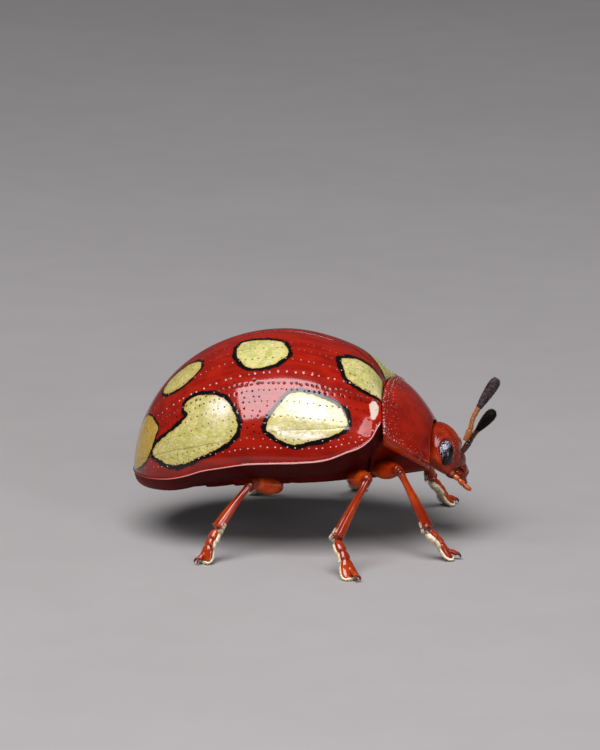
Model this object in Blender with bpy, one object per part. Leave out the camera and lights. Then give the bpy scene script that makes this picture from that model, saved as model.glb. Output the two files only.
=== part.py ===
"""A leaf beetle standing on its six feet, life size, as one solid for each sub-part.

Metres, +Z up, +X towards the head, the floor at Z = 0, the origin under the middle of the whole animal.
Sizes below are in millimetres, in the body's own frame: X = 0 at the base of the wing cases, +Y to the
animal's left. to_world() turns them into metres and moves the origin. Neighbouring solids keep GAP between
them. The far (left) legs stand in another phase of the walk than the near (right) ones.
"""

import math

import bmesh
import bpy
import numpy as np
from mathutils import Euler, Vector

MM = 0.001
BODY_AHEAD = 1.97  # from the origin to the base of the wing cases
GAP = 0.05

# Wing cases (elytra): a dome whose ribs run from the suture, on top, to the side ridge.
LENGTH = 7.5
TOP_X, TOP_Z, APEX_Z = -2.91, 6.15, 1.90
BACK_FALL, BASE_FALL = 0.92, 0.58  # how far the back falls to its base: in a long curve, and steeply at the end
WIDEST_X, HALF_WIDTH, SHOULDER_HALF_WIDTH = -2.9, 3.4, 2.78
SHOULDER_AHEAD = 0.25
RIB_POWER, BASE_ARCH = 1.05, 0.56  # the ribs' roundness, and how much more arched they are at the base
RIDGE_BACK = (-0.25, -0.17, 0.0, 0.19, 0.76, 1.2, 2.1, 2.9, 3.8, 4.4, 5.05, 5.5, 6.0, 6.7, 7.5)
RIDGE_Z = (4.10, 4.00, 3.68, 3.49, 3.24, 3.07, 2.95, 2.91, 2.83, 2.70, 2.53, 2.34, 2.17, 2.02, 1.90)
RIM_IN, RIM_DROP, APEX_DROP = 0.60, 0.62, 0.42  # the rim folded under the ridge
RIM_THICK = 0.25
CORE = Vector((-3.2, 0.0, 3.1))  # inner walls are the outer ones drawn in towards this point
SHELL_INNER = 0.86
BODY_UNDER_SHELL = 0.84

# Underside of the body, along the middle, from the apex forwards.
BELLY_X = (-7.5, -6.6, -5.0, -3.2, -1.8, -0.6, 0.3)
BELLY_Z = (1.42, 1.34, 1.40, 1.58, 1.66, 1.74, 2.0)
WAIST_X = -2.95  # where the abdomen meets the rear thorax
NECK_LOW, NECK_LEAN = Vector((-0.42, 0.0, 1.8)), 0.20  # the leaning cut between rear and front thorax
SHIELD_LENGTH, SHIELD_HALF_WIDTH, SHIELD_THICK = 0.42, 0.30, 0.25  # scutellum

# Front thorax: the plate (pronotum), its folded sides, and the block under it.
PLATE_LENGTH, PLATE_BASE_Z = 1.42, 4.67
PLATE_SLOPE, PLATE_ARCH = (0.03, 0.535), (1.0, 2.7)
CORNER_BACK = Vector((0.24, 2.68, 3.76))
CORNER_FRONT = Vector((1.50, 1.80, 2.64))
FOLD_IN, FOLD_DROP_BACK, FOLD_DROP_FRONT = 0.42, 0.45, 0.22
PLATE_CORE = Vector((0.2, 0.0, 2.7))
BREAST_FRONT_X, BREAST_BACK_Z, BREAST_FRONT_Z = 1.42, 1.80, 2.12

# Head, eyes, mouth and feelers.
HEAD_MIDDLE = Vector((1.50, 0.0, 2.66))
HEAD_RADII = Vector((0.80, 0.98, 0.84))
MOUTH_AHEAD, MOUTH_NARROWS, NECK_NARROWS = 0.60, 0.42, 0.35
EYE_MIDDLE, EYE_RADII, EYE_TILT = Vector((1.92, 0.76, 2.76)), Vector((0.20, 0.24, 0.36)), -0.08
SNOUT_MIDDLE, SNOUT_RADII = Vector((2.20, 0.0, 2.06)), Vector((0.28, 0.48, 0.30))
FEELERS = {
    "left": ((2.36, 0.50, 2.84), (2.50, 0.60, 3.18), (2.62, 0.78, 3.60), (3.22, 1.30, 4.57)),
    "right": ((2.40, -0.50, 2.76), (2.62, -0.62, 3.10), (2.84, -0.88, 3.46), (3.42, -1.60, 4.25)),
}  # the socket, a point along the stem, the foot of the club, the tip
PALPS = {
    "left": ((2.02, 0.46, 2.14), (2.26, 0.52, 1.90), (2.42, 0.50, 1.70), (2.50, 0.44, 1.58)),
    "right": ((2.02, -0.46, 2.14), (2.30, -0.55, 1.90), (2.52, -0.56, 1.70), (2.66, -0.52, 1.60)),
}

# Legs: the hip in the body, the knee, the ankle and the claw tips. Left and right differ, as in a walk.
LEGS = {
    "front_right": ((-0.10, -0.80, 2.20), (0.73, -2.35, 2.59), (1.65, -2.85, 0.96), (2.54, -2.56, 0.20)),
    "mid_right": ((-0.80, -1.05, 1.98), (-0.08, -3.10, 2.46), (-0.80, -4.75, 1.04), (-0.05, -5.60, 0.20)),
    "hind_right": ((-3.04, -1.10, 1.65), (-3.56, -2.80, 2.19), (-4.46, -3.75, 0.97), (-4.97, -4.28, 0.20)),
    "front_left": ((-0.10, 0.80, 2.20), (0.66, 2.45, 2.56), (1.02, 3.35, 0.95), (1.70, 4.00, 0.20)),
    "mid_left": ((-0.80, 1.05, 1.98), (-0.95, 3.10, 2.40), (-1.75, 4.50, 0.95), (-1.30, 5.60, 0.20)),
    "hind_left": ((-3.04, 1.10, 1.65), (-3.38, 2.85, 2.15), (-4.05, 3.95, 0.95), (-4.72, 4.55, 0.20)),
}
HIP_RADIUS, NECK_RADIUS, THIGH_RADIUS, KNEE_RADIUS = 0.38, 0.25, 0.31, 0.25
SHIN_RADIUS, ANKLE_RADIUS = 0.25, 0.28
PAD_HALF_WIDTH, PAD_HALF_HEIGHT = 0.34, 0.25
LIMB_SIDES = 10

COLOURS = {
    "cuticle_red": ((0.36, 0.022, 0.010), 0.25),
    "leg_orange": ((0.50, 0.075, 0.012), 0.3),
    "eye_black": ((0.012, 0.012, 0.016), 0.15),
    "club_black": ((0.018, 0.013, 0.012), 0.6),
}


# ---------------------------------------------------------------- tools

def to_world(point):
    """A body-frame point in millimetres as a world point in metres."""
    return Vector(((point[0] + BODY_AHEAD) * MM, point[1] * MM, point[2] * MM))


def material(name):
    found = bpy.data.materials.get(name)
    if found:
        return found
    colour, roughness = COLOURS[name]
    made = bpy.data.materials.new(name)
    made.use_nodes = True
    shader = made.node_tree.nodes["Principled BSDF"]
    shader.inputs["Base Color"].default_value = (*colour, 1.0)
    shader.inputs["Roughness"].default_value = roughness
    shader.inputs["Metallic"].default_value = 0.0
    return made


def add_object(name, bm, slot):
    """Closes the bmesh into a named object, with its faces pointing out."""
    bmesh.ops.recalc_face_normals(bm, faces=bm.faces)
    mesh = bpy.data.meshes.new(name)
    bm.to_mesh(mesh)
    bm.free()
    mesh.materials.append(material(slot))
    mesh.shade_smooth()
    obj = bpy.data.objects.new(name, mesh)
    bpy.context.scene.collection.objects.link(obj)
    return obj


def loft(name, rings, slot, folded=False):
    """A closed solid through rings of equally many points; a ring of one point closes an end to a tip.

    End rings are closed by a fan around their middle or, on a folded section (a thin wall), by strips across it.
    """
    bm = bmesh.new()
    loops = [[bm.verts.new(to_world(p)) for p in ring] for ring in rings]
    for a, b in zip(loops, loops[1:]):
        count = max(len(a), len(b))
        for i in range(count):
            j = (i + 1) % count
            if len(a) == 1:
                bm.faces.new((a[0], b[j], b[i]))
            elif len(b) == 1:
                bm.faces.new((a[i], a[j], b[0]))
            else:
                bm.faces.new((a[i], a[j], b[j], b[i]))
    for end in (loops[0], loops[-1]):
        if folded:
            for i in range(len(end) // 2 - 1):
                bm.faces.new((end[i], end[i + 1], end[-i - 2], end[-i - 1]))
        elif len(end) > 1:
            hub = bm.verts.new(sum((v.co for v in end), Vector()) / len(end))
            for i, vert in enumerate(end):
                bm.faces.new((vert, end[(i + 1) % len(end)], hub))
    return add_object(name, bm, slot)


def ellipsoid(name, middle, radii, slot, around=16, down=10, shape=None):
    """A ball stretched to its radii; shape() may bend its unit points first."""
    bm = bmesh.new()
    bmesh.ops.create_uvsphere(bm, u_segments=around, v_segments=down, radius=1.0)
    for vert in bm.verts:
        unit = shape(vert.co) if shape else vert.co
        vert.co = to_world(middle + Vector((unit.x * radii.x, unit.y * radii.y, unit.z * radii.z)))
    return add_object(name, bm, slot)


def carve(body, *cutters):
    """Cuts sockets for the cutters, which are then helpers and no part of the object."""
    for cutter in cutters:
        cutter.hide_render = True
        cutter.display_type = "WIRE"
        cut = body.modifiers.new(cutter.name, "BOOLEAN")
        cut.operation = "DIFFERENCE"
        cut.solver = "EXACT"
        cut.object = cutter


def spline(points, count):
    """Points along one smooth curve through the given ones (Catmull-Rom)."""
    keys = np.array(points, float)
    keys = np.vstack([2 * keys[0] - keys[1], keys, 2 * keys[-1] - keys[-2]])
    spans = len(keys) - 3
    found = []
    for at in np.linspace(0.0, spans, count):
        i = min(int(at), spans - 1)
        t = at - i
        a, b, c, d = keys[i:i + 4]
        found.append(0.5 * (2 * b + (c - a) * t + (2 * a - 5 * b + 4 * c - d) * t**2
                            + (3 * b - a - 3 * c + d) * t**3))
    return np.array(found)


def limb_rings(points, halves, rings, grow=0.0, floor=False):
    """Rings of a rounded limb along a curve; halves are (half width, half height) at even steps along it."""
    path = spline(points, rings)
    steps = np.linalg.norm(np.diff(path, axis=0), axis=1)
    share = np.concatenate([[0.0], np.cumsum(steps)]) / steps.sum()
    keys = np.linspace(0.0, 1.0, len(halves))
    wide = np.interp(share, keys, [h[0] for h in halves]) + grow
    high = np.interp(share, keys, [h[1] for h in halves]) + grow
    stations = []
    for centre, tangent, w, h in zip(path, np.gradient(path, axis=0), wide, high):
        ahead = Vector(tangent).normalized()
        side = ahead.cross(Vector((0, 0, 1))).normalized()
        up = side.cross(ahead)
        angles = [2 * math.pi * k / LIMB_SIDES for k in range(LIMB_SIDES)]
        ring = [Vector(centre) + side * (w * math.cos(a)) + up * (h * math.sin(a)) for a in angles]
        stations.append((Vector(centre), ahead, ring))
    made = rounded(stations, high)
    if floor:
        for ring in made:
            for point in ring:
                point.z = max(point.z, 0.0)
    return made


def rounded(stations, high):
    """The stations' rings, with a smaller ring and a tip beyond both ends."""
    rings = [ring for _, _, ring in stations]
    for end, sign in ((0, -1), (-1, 1)):
        centre, ahead, ring = stations[end]
        reach = ahead * (sign * high[end])
        small = [centre + (p - centre) * 0.72 + reach * 0.62 for p in ring]
        tip = [centre + reach * 0.9]
        rings = [tip, small] + rings if end == 0 else rings + [small, tip]
    return rings


def on_side(point, side):
    """A point given for the left side, on the side asked for (1 left, -1 right)."""
    return Vector((point[0], side * point[1], point[2]))


def drawn_in(point, core, share):
    return core + (point - core) * share


# ---------------------------------------------------------------- wing cases and trunk

def suture_z(x):
    """Height of the middle line of the back."""
    if x > TOP_X:
        share = min((x - TOP_X) / -TOP_X, 1.0)
        return TOP_Z - BACK_FALL * share**1.8 - BASE_FALL * share**8.5
    share = (TOP_X - x) / (LENGTH + TOP_X)
    return APEX_Z + (TOP_Z - APEX_Z) * math.sqrt(max(1 - share**2, 0.0))


def half_width(x):
    """Half the width of the wing cases, at the side ridge."""
    if x > WIDEST_X:
        share = (x - WIDEST_X) / (SHOULDER_AHEAD - WIDEST_X)
        return HALF_WIDTH - (HALF_WIDTH - SHOULDER_HALF_WIDTH) * min(share, 1.0) ** 2.4
    share = (WIDEST_X - x) / (LENGTH + WIDEST_X)
    return HALF_WIDTH * max(1 - share**2.3, 0.0) ** (1 / 2.1)


def ridge(t):
    """The side ridge, on the left, from the shoulder (t = 0) to the apex (t = 1)."""
    x = -LENGTH * math.sin(math.pi * t / 2) + SHOULDER_AHEAD * (1 - t) ** 6
    return Vector((x, half_width(x), float(np.interp(-x, RIDGE_BACK, RIDGE_Z))))


def dome(t, s):
    """A point of the wing case's outer face: s runs from the suture (0) to the ridge (1)."""
    angle = s * math.pi / 2
    edge = ridge(t)
    middle_x = -LENGTH * math.sin(math.pi * t / 2)
    out = math.sin(angle) ** RIB_POWER
    rise = max(math.cos(angle), 0.0) ** (RIB_POWER + BASE_ARCH * (1 - t) ** 8)
    x = middle_x + (edge.x - middle_x) * out
    return Vector((x, edge.y * out, edge.z + (suture_z(middle_x) - edge.z) * rise))


def rim(t):
    """The lower edge of the rim that folds under the ridge."""
    edge = ridge(t)
    full = min(edge.y / 0.9, 1.0)
    drop = APEX_DROP + (RIM_DROP - APEX_DROP) * full * (1 - t)
    return edge + Vector((0.12 * (1 - full), -RIM_IN * full, -drop))


def elytron_ring(t, side, outer=13, inner=9):
    edge = rim(t)
    ring = [dome(t, k / (outer - 1)) for k in range(outer)]
    ring += [edge, edge + Vector((0.0, -min(RIM_THICK, edge.y * 0.4), 0.12))]
    ring += [drawn_in(dome(t, k / (inner - 1)), CORE, SHELL_INNER) for k in reversed(range(inner))]
    return [Vector((p.x, side * (max(p.y, 0.0) + GAP / 2), p.z)) for p in ring]


def shield_ring(x, grow, below, above):
    """The scutellum's section: a strip that narrows backwards from the base of the wing cases."""
    half = SHIELD_HALF_WIDTH * (1 + x / SHIELD_LENGTH) + grow + 0.02
    top = suture_z(min(x, 0.0))
    corners = ((-half, above), (half, above), (half, -below), (-half, -below))
    return [Vector((x, y, top + z)) for y, z in corners]


def add_elytra():
    stations = [k / 16 for k in range(16)] + [0.965, 0.99]
    cases = []
    for side, word in ((1, "left"), (-1, "right")):
        rings = [elytron_ring(t, side) for t in stations]
        cases.append(loft("elytron_" + word, rings, "cuticle_red", folded=True))
    backs = [-SHIELD_LENGTH * k / 3 for k in range(4)]
    loft("scutellum", [shield_ring(x, 0.0, SHIELD_THICK, 0.01) for x in backs], "cuticle_red")
    for case in cases:
        notch = [0.1] + backs[1:-1] + [-SHIELD_LENGTH - GAP]
        rings = [shield_ring(x, GAP, 0.9, 0.4) for x in notch]
        carve(case, loft("notch_" + case.name, rings, "cuticle_red"))


def neck_x(z):
    """Where the leaning cut between the front and rear thorax stands, at a height."""
    return NECK_LOW.x + NECK_LEAN * (z - NECK_LOW.z)


def lean(point, foremost):
    """Moves a point of the rear thorax back in proportion, so that its front face follows the cut."""
    share = (point.x - WAIST_X) / (foremost - WAIST_X)
    front = min(neck_x(point.z), foremost) - GAP / 2
    return Vector((WAIST_X + share * (front - WAIST_X), point.y, point.z))


def trunk_ring(t, top=7, bottom=7):
    """A rib of the body under the wing cases: its dome, the waist inside their rims, and the belly."""
    left = [drawn_in(dome(t, k / (top - 1)), CORE, BODY_UNDER_SHELL) for k in range(top)]
    edge = rim(t)
    inset = min(RIM_THICK, edge.y * 0.4) + GAP
    waist = Vector((edge.x, max(edge.y - inset, 0.06), edge.z + 0.14))
    left[-1].y = min(left[-1].y, edge.y + 0.02)
    left.append(waist)
    low = float(np.interp(edge.x, BELLY_X, BELLY_Z))
    for k in range(1, bottom):
        out = math.cos(0.5 * math.pi * k / bottom)
        left.append(Vector((edge.x, waist.y * out, low + (waist.z - low) * out**2.2)))
    keel = Vector((edge.x, 0.0, low))
    right = [Vector((p.x, -p.y, p.z)) for p in reversed(left[1:])]
    return left + [keel] + right


def add_trunk():
    cut = 2 / math.pi * math.asin(-WAIST_X / LENGTH)
    front = [0.012 + (cut - 0.017) * k / 5 for k in range(6)]
    rear = [cut + (0.955 - cut) * k / 11 for k in range(12)]
    foremost = rim(front[0]).x
    rings = [[lean(p, foremost) for p in trunk_ring(t)] for t in front]
    thorax = loft("thorax", rings, "cuticle_red")
    abdomen = loft("abdomen", [trunk_ring(t) for t in rear], "cuticle_red")
    return thorax, abdomen


# ---------------------------------------------------------------- front thorax

def plate(u, s):
    """A point of the plate's outer face: u from its base (0) to its front (1), s from -1 (right) to 1."""
    x = PLATE_LENGTH * math.sin(math.pi / 2 * u)
    a, b = PLATE_SLOPE
    middle = Vector((x, 0.0, PLATE_BASE_Z - a * x - b * x**2))
    edge = Vector((
        CORNER_BACK.x + (CORNER_FRONT.x - CORNER_BACK.x) * u,
        CORNER_BACK.y + (CORNER_FRONT.y - CORNER_BACK.y) * u**1.5,
        CORNER_BACK.z + (CORNER_FRONT.z - CORNER_BACK.z) * u**1.05,
    ))
    out = math.sin(s * math.pi / 2)
    rise = max(math.cos(s * math.pi / 2), 0.0) ** (PLATE_ARCH[0] + (PLATE_ARCH[1] - PLATE_ARCH[0]) * u)
    along = middle.x + (edge.x - middle.x) * out**2 + GAP
    return Vector((along, edge.y * out, edge.z + (middle.z - edge.z) * rise))


def plate_share(u):
    """How far the plate's inner face is drawn in: the plate thins to its front edge."""
    return 0.84 + 0.11 * u**2


def fold(u):
    """The lower edge of the plate's folded side, on the left."""
    drop = FOLD_DROP_BACK + (FOLD_DROP_FRONT - FOLD_DROP_BACK) * u
    return plate(u, 1.0) + Vector((-0.06, -FOLD_IN, -drop))


def plate_ring(u, count=19):
    spots = [2 * k / (count - 1) - 1 for k in range(count)]
    low = fold(u)
    low_in = low + Vector((0.0, -0.22, 0.12))
    outer = [on_side(low, -1)] + [plate(u, s) for s in spots] + [low]
    inner = [drawn_in(plate(u, s), PLATE_CORE, plate_share(u)) for s in reversed(spots)]
    return outer + [low_in] + inner + [on_side(low_in, -1)]


def breast_ring(u, count=15, under=9):
    """The block under the plate: its top follows the plate, its sides fall to the breast."""
    share = plate_share(u) - 0.02
    spots = [2 * k / (count - 1) - 1 for k in range(count)]
    top = [drawn_in(plate(u, s), PLATE_CORE, share) for s in spots]
    low = BREAST_BACK_Z + (BREAST_FRONT_Z - BREAST_BACK_Z) * u
    edge = fold(u) + Vector((0.0, -0.24 - GAP, 0.10))
    top[0], top[-1] = on_side(edge, -1), edge
    bottom = []
    for k in range(1, under):
        out = math.cos(math.pi * k / under)
        z = low + (edge.z - low) * abs(out) ** 1.8
        x = neck_x(z) + GAP / 2 + (BREAST_FRONT_X - neck_x(z)) * u
        bottom.append(Vector((x, edge.y * out, z)))
    return top + bottom


def add_prothorax():
    loft("pronotum", [plate_ring(k / 7) for k in range(8)], "cuticle_red", folded=True)
    return loft("prosternum", [breast_ring(k * 0.155) for k in range(7)], "cuticle_red")


# ---------------------------------------------------------------- head

def head_shape(unit):
    """Narrows the ball to the neck behind and to the mouth below, and pushes the mouth forwards."""
    below = max(-unit.z, 0.0)
    neck = 1 - NECK_NARROWS * max(0.15 - unit.x, 0.0)
    return Vector((
        unit.x + MOUTH_AHEAD * below,
        unit.y * neck * (1 - MOUTH_NARROWS * below**1.5),
        unit.z * neck,
    ))


def eye_shape(unit):
    """Lays the eye's long axis along the slope of the face."""
    return Euler((0.0, -EYE_TILT, 0.0)).to_matrix() @ unit


def add_head(breast):
    head = ellipsoid("head", HEAD_MIDDLE, HEAD_RADII, "cuticle_red", 20, 13, head_shape)
    grown = Vector((GAP, GAP, GAP))
    socket = ellipsoid("socket_head", HEAD_MIDDLE, HEAD_RADII + grown, "cuticle_red", 20, 13, head_shape)
    carve(breast, socket)
    mouth = ellipsoid("mouthparts", SNOUT_MIDDLE, SNOUT_RADII, "cuticle_red", 14, 8)
    carve(head, ellipsoid("socket_mouth", SNOUT_MIDDLE, SNOUT_RADII + grown, "cuticle_red", 14, 8))
    for side, word in ((1, "left"), (-1, "right")):
        middle = on_side(EYE_MIDDLE, side)
        ellipsoid("eye_" + word, middle, EYE_RADII, "eye_black", 12, 8, eye_shape)
        socket = ellipsoid("socket_eye_" + word, middle, EYE_RADII + grown, "cuticle_red", 12, 8, eye_shape)
        carve(head, socket)
        add_feeler(head, word)
        add_palp((head, mouth), word)


def add_feeler(head, word):
    *stem, tip = (Vector(p) for p in FEELERS[word])
    ahead = (tip - stem[-1]).normalized()
    halves = [(0.25, 0.25)] * 2
    loft("antenna_stem_" + word, limb_rings(stem, halves, 6), "leg_orange")
    carve(head, loft("socket_antenna_" + word, limb_rings(stem, halves, 6, GAP), "leg_orange"))
    foot = stem[-1] + ahead * (0.45 + GAP)
    top = tip - ahead * 0.22
    halves = [(0.25, 0.25), (0.28, 0.28), (0.25, 0.25)]
    loft("antenna_club_" + word, limb_rings([foot, foot.lerp(top, 0.5), top], halves, 3), "club_black")


def add_palp(bodies, word):
    path = [Vector(p) for p in PALPS[word]]
    halves = [(0.25, 0.25)] * 2
    loft("palp_" + word, limb_rings(path, halves, 5), "leg_orange")
    for body in bodies:
        name = "socket_palp_" + word + "_" + body.name
        carve(body, loft(name, limb_rings(path, halves, 5, GAP), "leg_orange"))


# ---------------------------------------------------------------- legs

def thigh_rings(hip, knee, grow=0.0):
    path = [hip, hip.lerp(knee, 0.30), hip.lerp(knee, 0.66), knee]
    radii = (HIP_RADIUS, NECK_RADIUS, THIGH_RADIUS, KNEE_RADIUS)
    return limb_rings(path, [(r, r) for r in radii], 7, grow)


def shin_rings(knee, ankle, grow=0.0):
    ahead = (ankle - knee).normalized()
    start = knee + ahead * 0.12
    return limb_rings([start, start.lerp(ankle, 0.5), ankle], [(SHIN_RADIUS,) * 2, (ANKLE_RADIUS,) * 2], 3, grow)


def foot_rings(ankle, claws):
    """Two short joints sloping down, the broad pad flat on the floor, and the claw joint."""
    out = (claws - ankle).normalized()
    pad = ankle.lerp(claws, 0.66)
    pad.z = claws.z
    path = [ankle + out * 0.12, ankle.lerp(claws, 0.36) - Vector((0, 0, 0.06)), pad, claws]
    halves = [(0.25, 0.24), (0.27, 0.25), (PAD_HALF_WIDTH, PAD_HALF_HEIGHT), (0.25, 0.22)]
    return limb_rings(path, halves, 7, floor=True)


def add_leg(word, joints, bodies):
    hip, knee, ankle, claws = (Vector(p) for p in joints)
    loft("femur_" + word, thigh_rings(hip, knee), "leg_orange")
    shin = loft("tibia_" + word, shin_rings(knee, ankle), "leg_orange")
    foot = loft("tarsus_" + word, foot_rings(ankle, claws), "leg_orange")
    for body in bodies + [shin]:
        rings = thigh_rings(hip, knee, GAP)
        carve(body, loft("socket_" + word + "_" + body.name, rings, "leg_orange"))
    carve(foot, loft("socket_ankle_" + word, shin_rings(knee, ankle, GAP), "leg_orange"))


# ---------------------------------------------------------------- the animal

def clear_scene():
    for obj in list(bpy.data.objects):
        bpy.data.objects.remove(obj)


def main():
    clear_scene()
    add_elytra()
    thorax, abdomen = add_trunk()
    breast = add_prothorax()
    add_head(breast)
    carried_by = {"front": [breast, thorax], "mid": [thorax], "hind": [thorax, abdomen]}
    for word, joints in LEGS.items():
        add_leg(word, joints, carried_by[word.split("_")[0]])


main()
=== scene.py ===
"""The looks of the leaf beetle: every plate, joint, spot and hair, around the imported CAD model.

Lengths are in millimetres in the body's own frame, as in the CAD source: X = 0 at the base of the wing
cases, +Y to the animal's left, the floor at Z = 0. world() turns them into metres. The shapes repeat the
CAD's own functions on finer grids and add what is too fine for it.
"""

import math

import bmesh
import bpy
import numpy as np
from mathutils import Matrix, Vector

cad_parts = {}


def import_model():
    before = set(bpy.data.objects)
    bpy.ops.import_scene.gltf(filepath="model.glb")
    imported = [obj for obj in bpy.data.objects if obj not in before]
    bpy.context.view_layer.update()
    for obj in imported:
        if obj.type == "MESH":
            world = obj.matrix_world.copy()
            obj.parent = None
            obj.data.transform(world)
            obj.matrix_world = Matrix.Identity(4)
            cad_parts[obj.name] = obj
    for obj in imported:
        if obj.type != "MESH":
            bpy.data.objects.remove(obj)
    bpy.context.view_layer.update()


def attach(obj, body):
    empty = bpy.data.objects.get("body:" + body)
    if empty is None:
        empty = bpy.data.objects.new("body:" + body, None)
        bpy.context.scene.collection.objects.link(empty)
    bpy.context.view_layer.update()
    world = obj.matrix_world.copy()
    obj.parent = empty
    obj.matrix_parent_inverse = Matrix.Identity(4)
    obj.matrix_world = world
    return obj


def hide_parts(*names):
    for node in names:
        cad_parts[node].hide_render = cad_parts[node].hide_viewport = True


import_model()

MM = 0.001
BODY_AHEAD = 1.97  # from the origin to the base of the wing cases
GAP = 0.05  # between neighbouring plates
UP = np.array((0.0, 0.0, 1.0))
SIDES = (("left", 1.0), ("right", -1.0))

# Wing cases, as in the CAD.
LENGTH = 7.5
TOP_X, TOP_Z, APEX_Z = -2.91, 6.15, 1.90
BACK_FALL, BASE_FALL = 0.92, 0.58
WIDEST_X, HALF_WIDTH, SHOULDER_HALF_WIDTH = -2.9, 3.4, 2.78
SHOULDER_AHEAD = 0.25
RIB_POWER, BASE_ARCH = 1.05, 0.56
RIDGE_BACK = (-0.25, -0.17, 0.0, 0.19, 0.76, 1.2, 2.1, 2.9, 3.8, 4.4, 5.05, 5.5, 6.0, 6.7, 7.5)
RIDGE_Z = (4.10, 4.00, 3.68, 3.49, 3.24, 3.07, 2.95, 2.91, 2.83, 2.70, 2.53, 2.34, 2.17, 2.02, 1.90)
RIM_IN, RIM_DROP, APEX_DROP, RIM_THICK = 0.60, 0.62, 0.42, 0.25
CORE = np.array((-3.2, 0.0, 3.1))
BODY_UNDER_SHELL = 0.84
BELLY_X = (-7.5, -6.6, -5.0, -3.2, -1.8, -0.6, 0.3)
BELLY_Z = (1.42, 1.34, 1.40, 1.58, 1.66, 1.74, 2.0)
WAIST_X = -2.95
NECK_LOW, NECK_LEAN = (-0.42, 0.0, 1.8), 0.20
SHIELD_LENGTH, SHIELD_HALF_WIDTH = 0.42, 0.30

# Front thorax, as in the CAD.
PLATE_LENGTH, PLATE_BASE_Z = 1.42, 4.67
PLATE_SLOPE, PLATE_ARCH = (0.03, 0.535), (1.0, 2.7)
CORNER_BACK = (0.24, 2.68, 3.76)
CORNER_FRONT = (1.50, 1.80, 2.64)
FOLD_IN, FOLD_DROP_BACK, FOLD_DROP_FRONT = 0.42, 0.45, 0.22
PLATE_CORE = np.array((0.2, 0.0, 2.7))
BREAST_FRONT_X, BREAST_BACK_Z, BREAST_FRONT_Z = 1.42, 1.80, 2.12

# Head and legs, as in the CAD.
HEAD_MIDDLE = np.array((1.50, 0.0, 2.66))
HEAD_RADII = np.array((0.80, 0.98, 0.84))
MOUTH_AHEAD, MOUTH_NARROWS, NECK_NARROWS = 0.60, 0.42, 0.35
EYE_MIDDLE, EYE_RADII = np.array((1.93, 0.76, 2.76)), np.array((0.235, 0.22, 0.38))
EYE_FACES, EYE_LEANS = (0.25, 0.87, 0.42), (0.10, 0.0, 1.0)  # outward on the left, and along its length
EYE_REAR = (0.60, 1.12)  # how far its rear half reaches, low and high
FEELERS = {
    "left": ((2.36, 0.50, 2.84), (2.50, 0.60, 3.18), (2.62, 0.78, 3.60), (3.22, 1.30, 4.57)),
    "right": ((2.40, -0.50, 2.76), (2.62, -0.62, 3.10), (2.84, -0.88, 3.46), (3.42, -1.60, 4.25)),
}
PALPS = {
    "left": ((2.02, 0.46, 2.14), (2.20, 0.50, 1.92), (2.31, 0.48, 1.74), (2.38, 0.42, 1.62)),
    "right": ((2.02, -0.46, 2.14), (2.30, -0.55, 1.90), (2.52, -0.56, 1.70), (2.66, -0.52, 1.60)),
}
LEGS = {  # hip, knee, ankle and claws
    "front_right": ((-0.10, -0.80, 2.20), (0.73, -2.35, 2.59), (1.65, -2.85, 0.96), (2.54, -2.56, 0.20)),
    "mid_right": ((-0.80, -1.05, 1.98), (-0.08, -3.10, 2.46), (-0.80, -4.75, 1.04), (-0.05, -5.60, 0.20)),
    "hind_right": ((-3.04, -1.10, 1.65), (-3.56, -2.80, 2.19), (-4.46, -3.75, 0.97), (-4.97, -4.28, 0.20)),
    "front_left": ((-0.10, 0.80, 2.20), (0.66, 2.45, 2.56), (1.02, 3.35, 0.95), (1.70, 4.00, 0.20)),
    "mid_left": ((-0.80, 1.05, 1.98), (-0.95, 3.10, 2.40), (-1.75, 4.50, 0.95), (-1.30, 5.60, 0.20)),
    "hind_left": ((-3.04, 1.10, 1.65), (-3.38, 2.85, 2.15), (-4.05, 3.95, 0.95), (-4.72, 4.55, 0.20)),
}

# Spots of the left wing case: the tone (0 pale lime, 1 ochre), how wide the black ring is (1 full, 0 none),
# and the outline in (t, s), along the wing case and round it.
SPOTS = (
    (0.12, 1.0, (
        (0.379, 0.171), (0.364, 0.145), (0.311, 0.154), (0.262, 0.180), (0.243, 0.227), (0.234, 0.276),
        (0.242, 0.327), (0.265, 0.376), (0.307, 0.405), (0.344, 0.388), (0.367, 0.334), (0.385, 0.254))),
    (0.20, 1.2, (
        (0.102, 0.232), (0.090, 0.192), (0.070, 0.154), (0.050, 0.131), (0.030, 0.108), (-0.004, 0.100),
        (-0.004, 0.400), (0.014, 0.414), (0.044, 0.410), (0.063, 0.401), (0.081, 0.374), (0.093, 0.316))),
    (0.25, 1.0, (
        (0.272, 0.750), (0.240, 0.630), (0.208, 0.550), (0.145, 0.550), (0.092, 0.600), (0.075, 0.690),
        (0.088, 0.768), (0.143, 0.822), (0.204, 0.863), (0.262, 0.804))),
    (0.30, 1.0, (
        (0.532, 0.502), (0.480, 0.512), (0.405, 0.572), (0.362, 0.690), (0.356, 0.790), (0.400, 0.862),
        (0.480, 0.905), (0.560, 0.912), (0.630, 0.870), (0.689, 0.797), (0.670, 0.722), (0.560, 0.648),
        (0.531, 0.608), (0.547, 0.556))),
    (0.45, 0.7, (
        (0.507, 0.209), (0.504, 0.285), (0.538, 0.343), (0.589, 0.361), (0.637, 0.330), (0.669, 0.252),
        (0.653, 0.160), (0.600, 0.136), (0.546, 0.149))),
    (1.00, 0.5, (
        (0.774, 0.300), (0.683, 0.541), (0.668, 0.608), (0.686, 0.679), (0.703, 0.757), (0.739, 0.837),
        (0.802, 0.898), (0.880, 0.910), (0.945, 0.660), (0.935, 0.360), (0.860, 0.250))),
    (0.05, 0.0, (
        (0.021, 0.477), (0.010, 0.500), (0.007, 0.600), (0.010, 0.700), (0.019, 0.690), (0.027, 0.600),
        (0.028, 0.519))),
)
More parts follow.
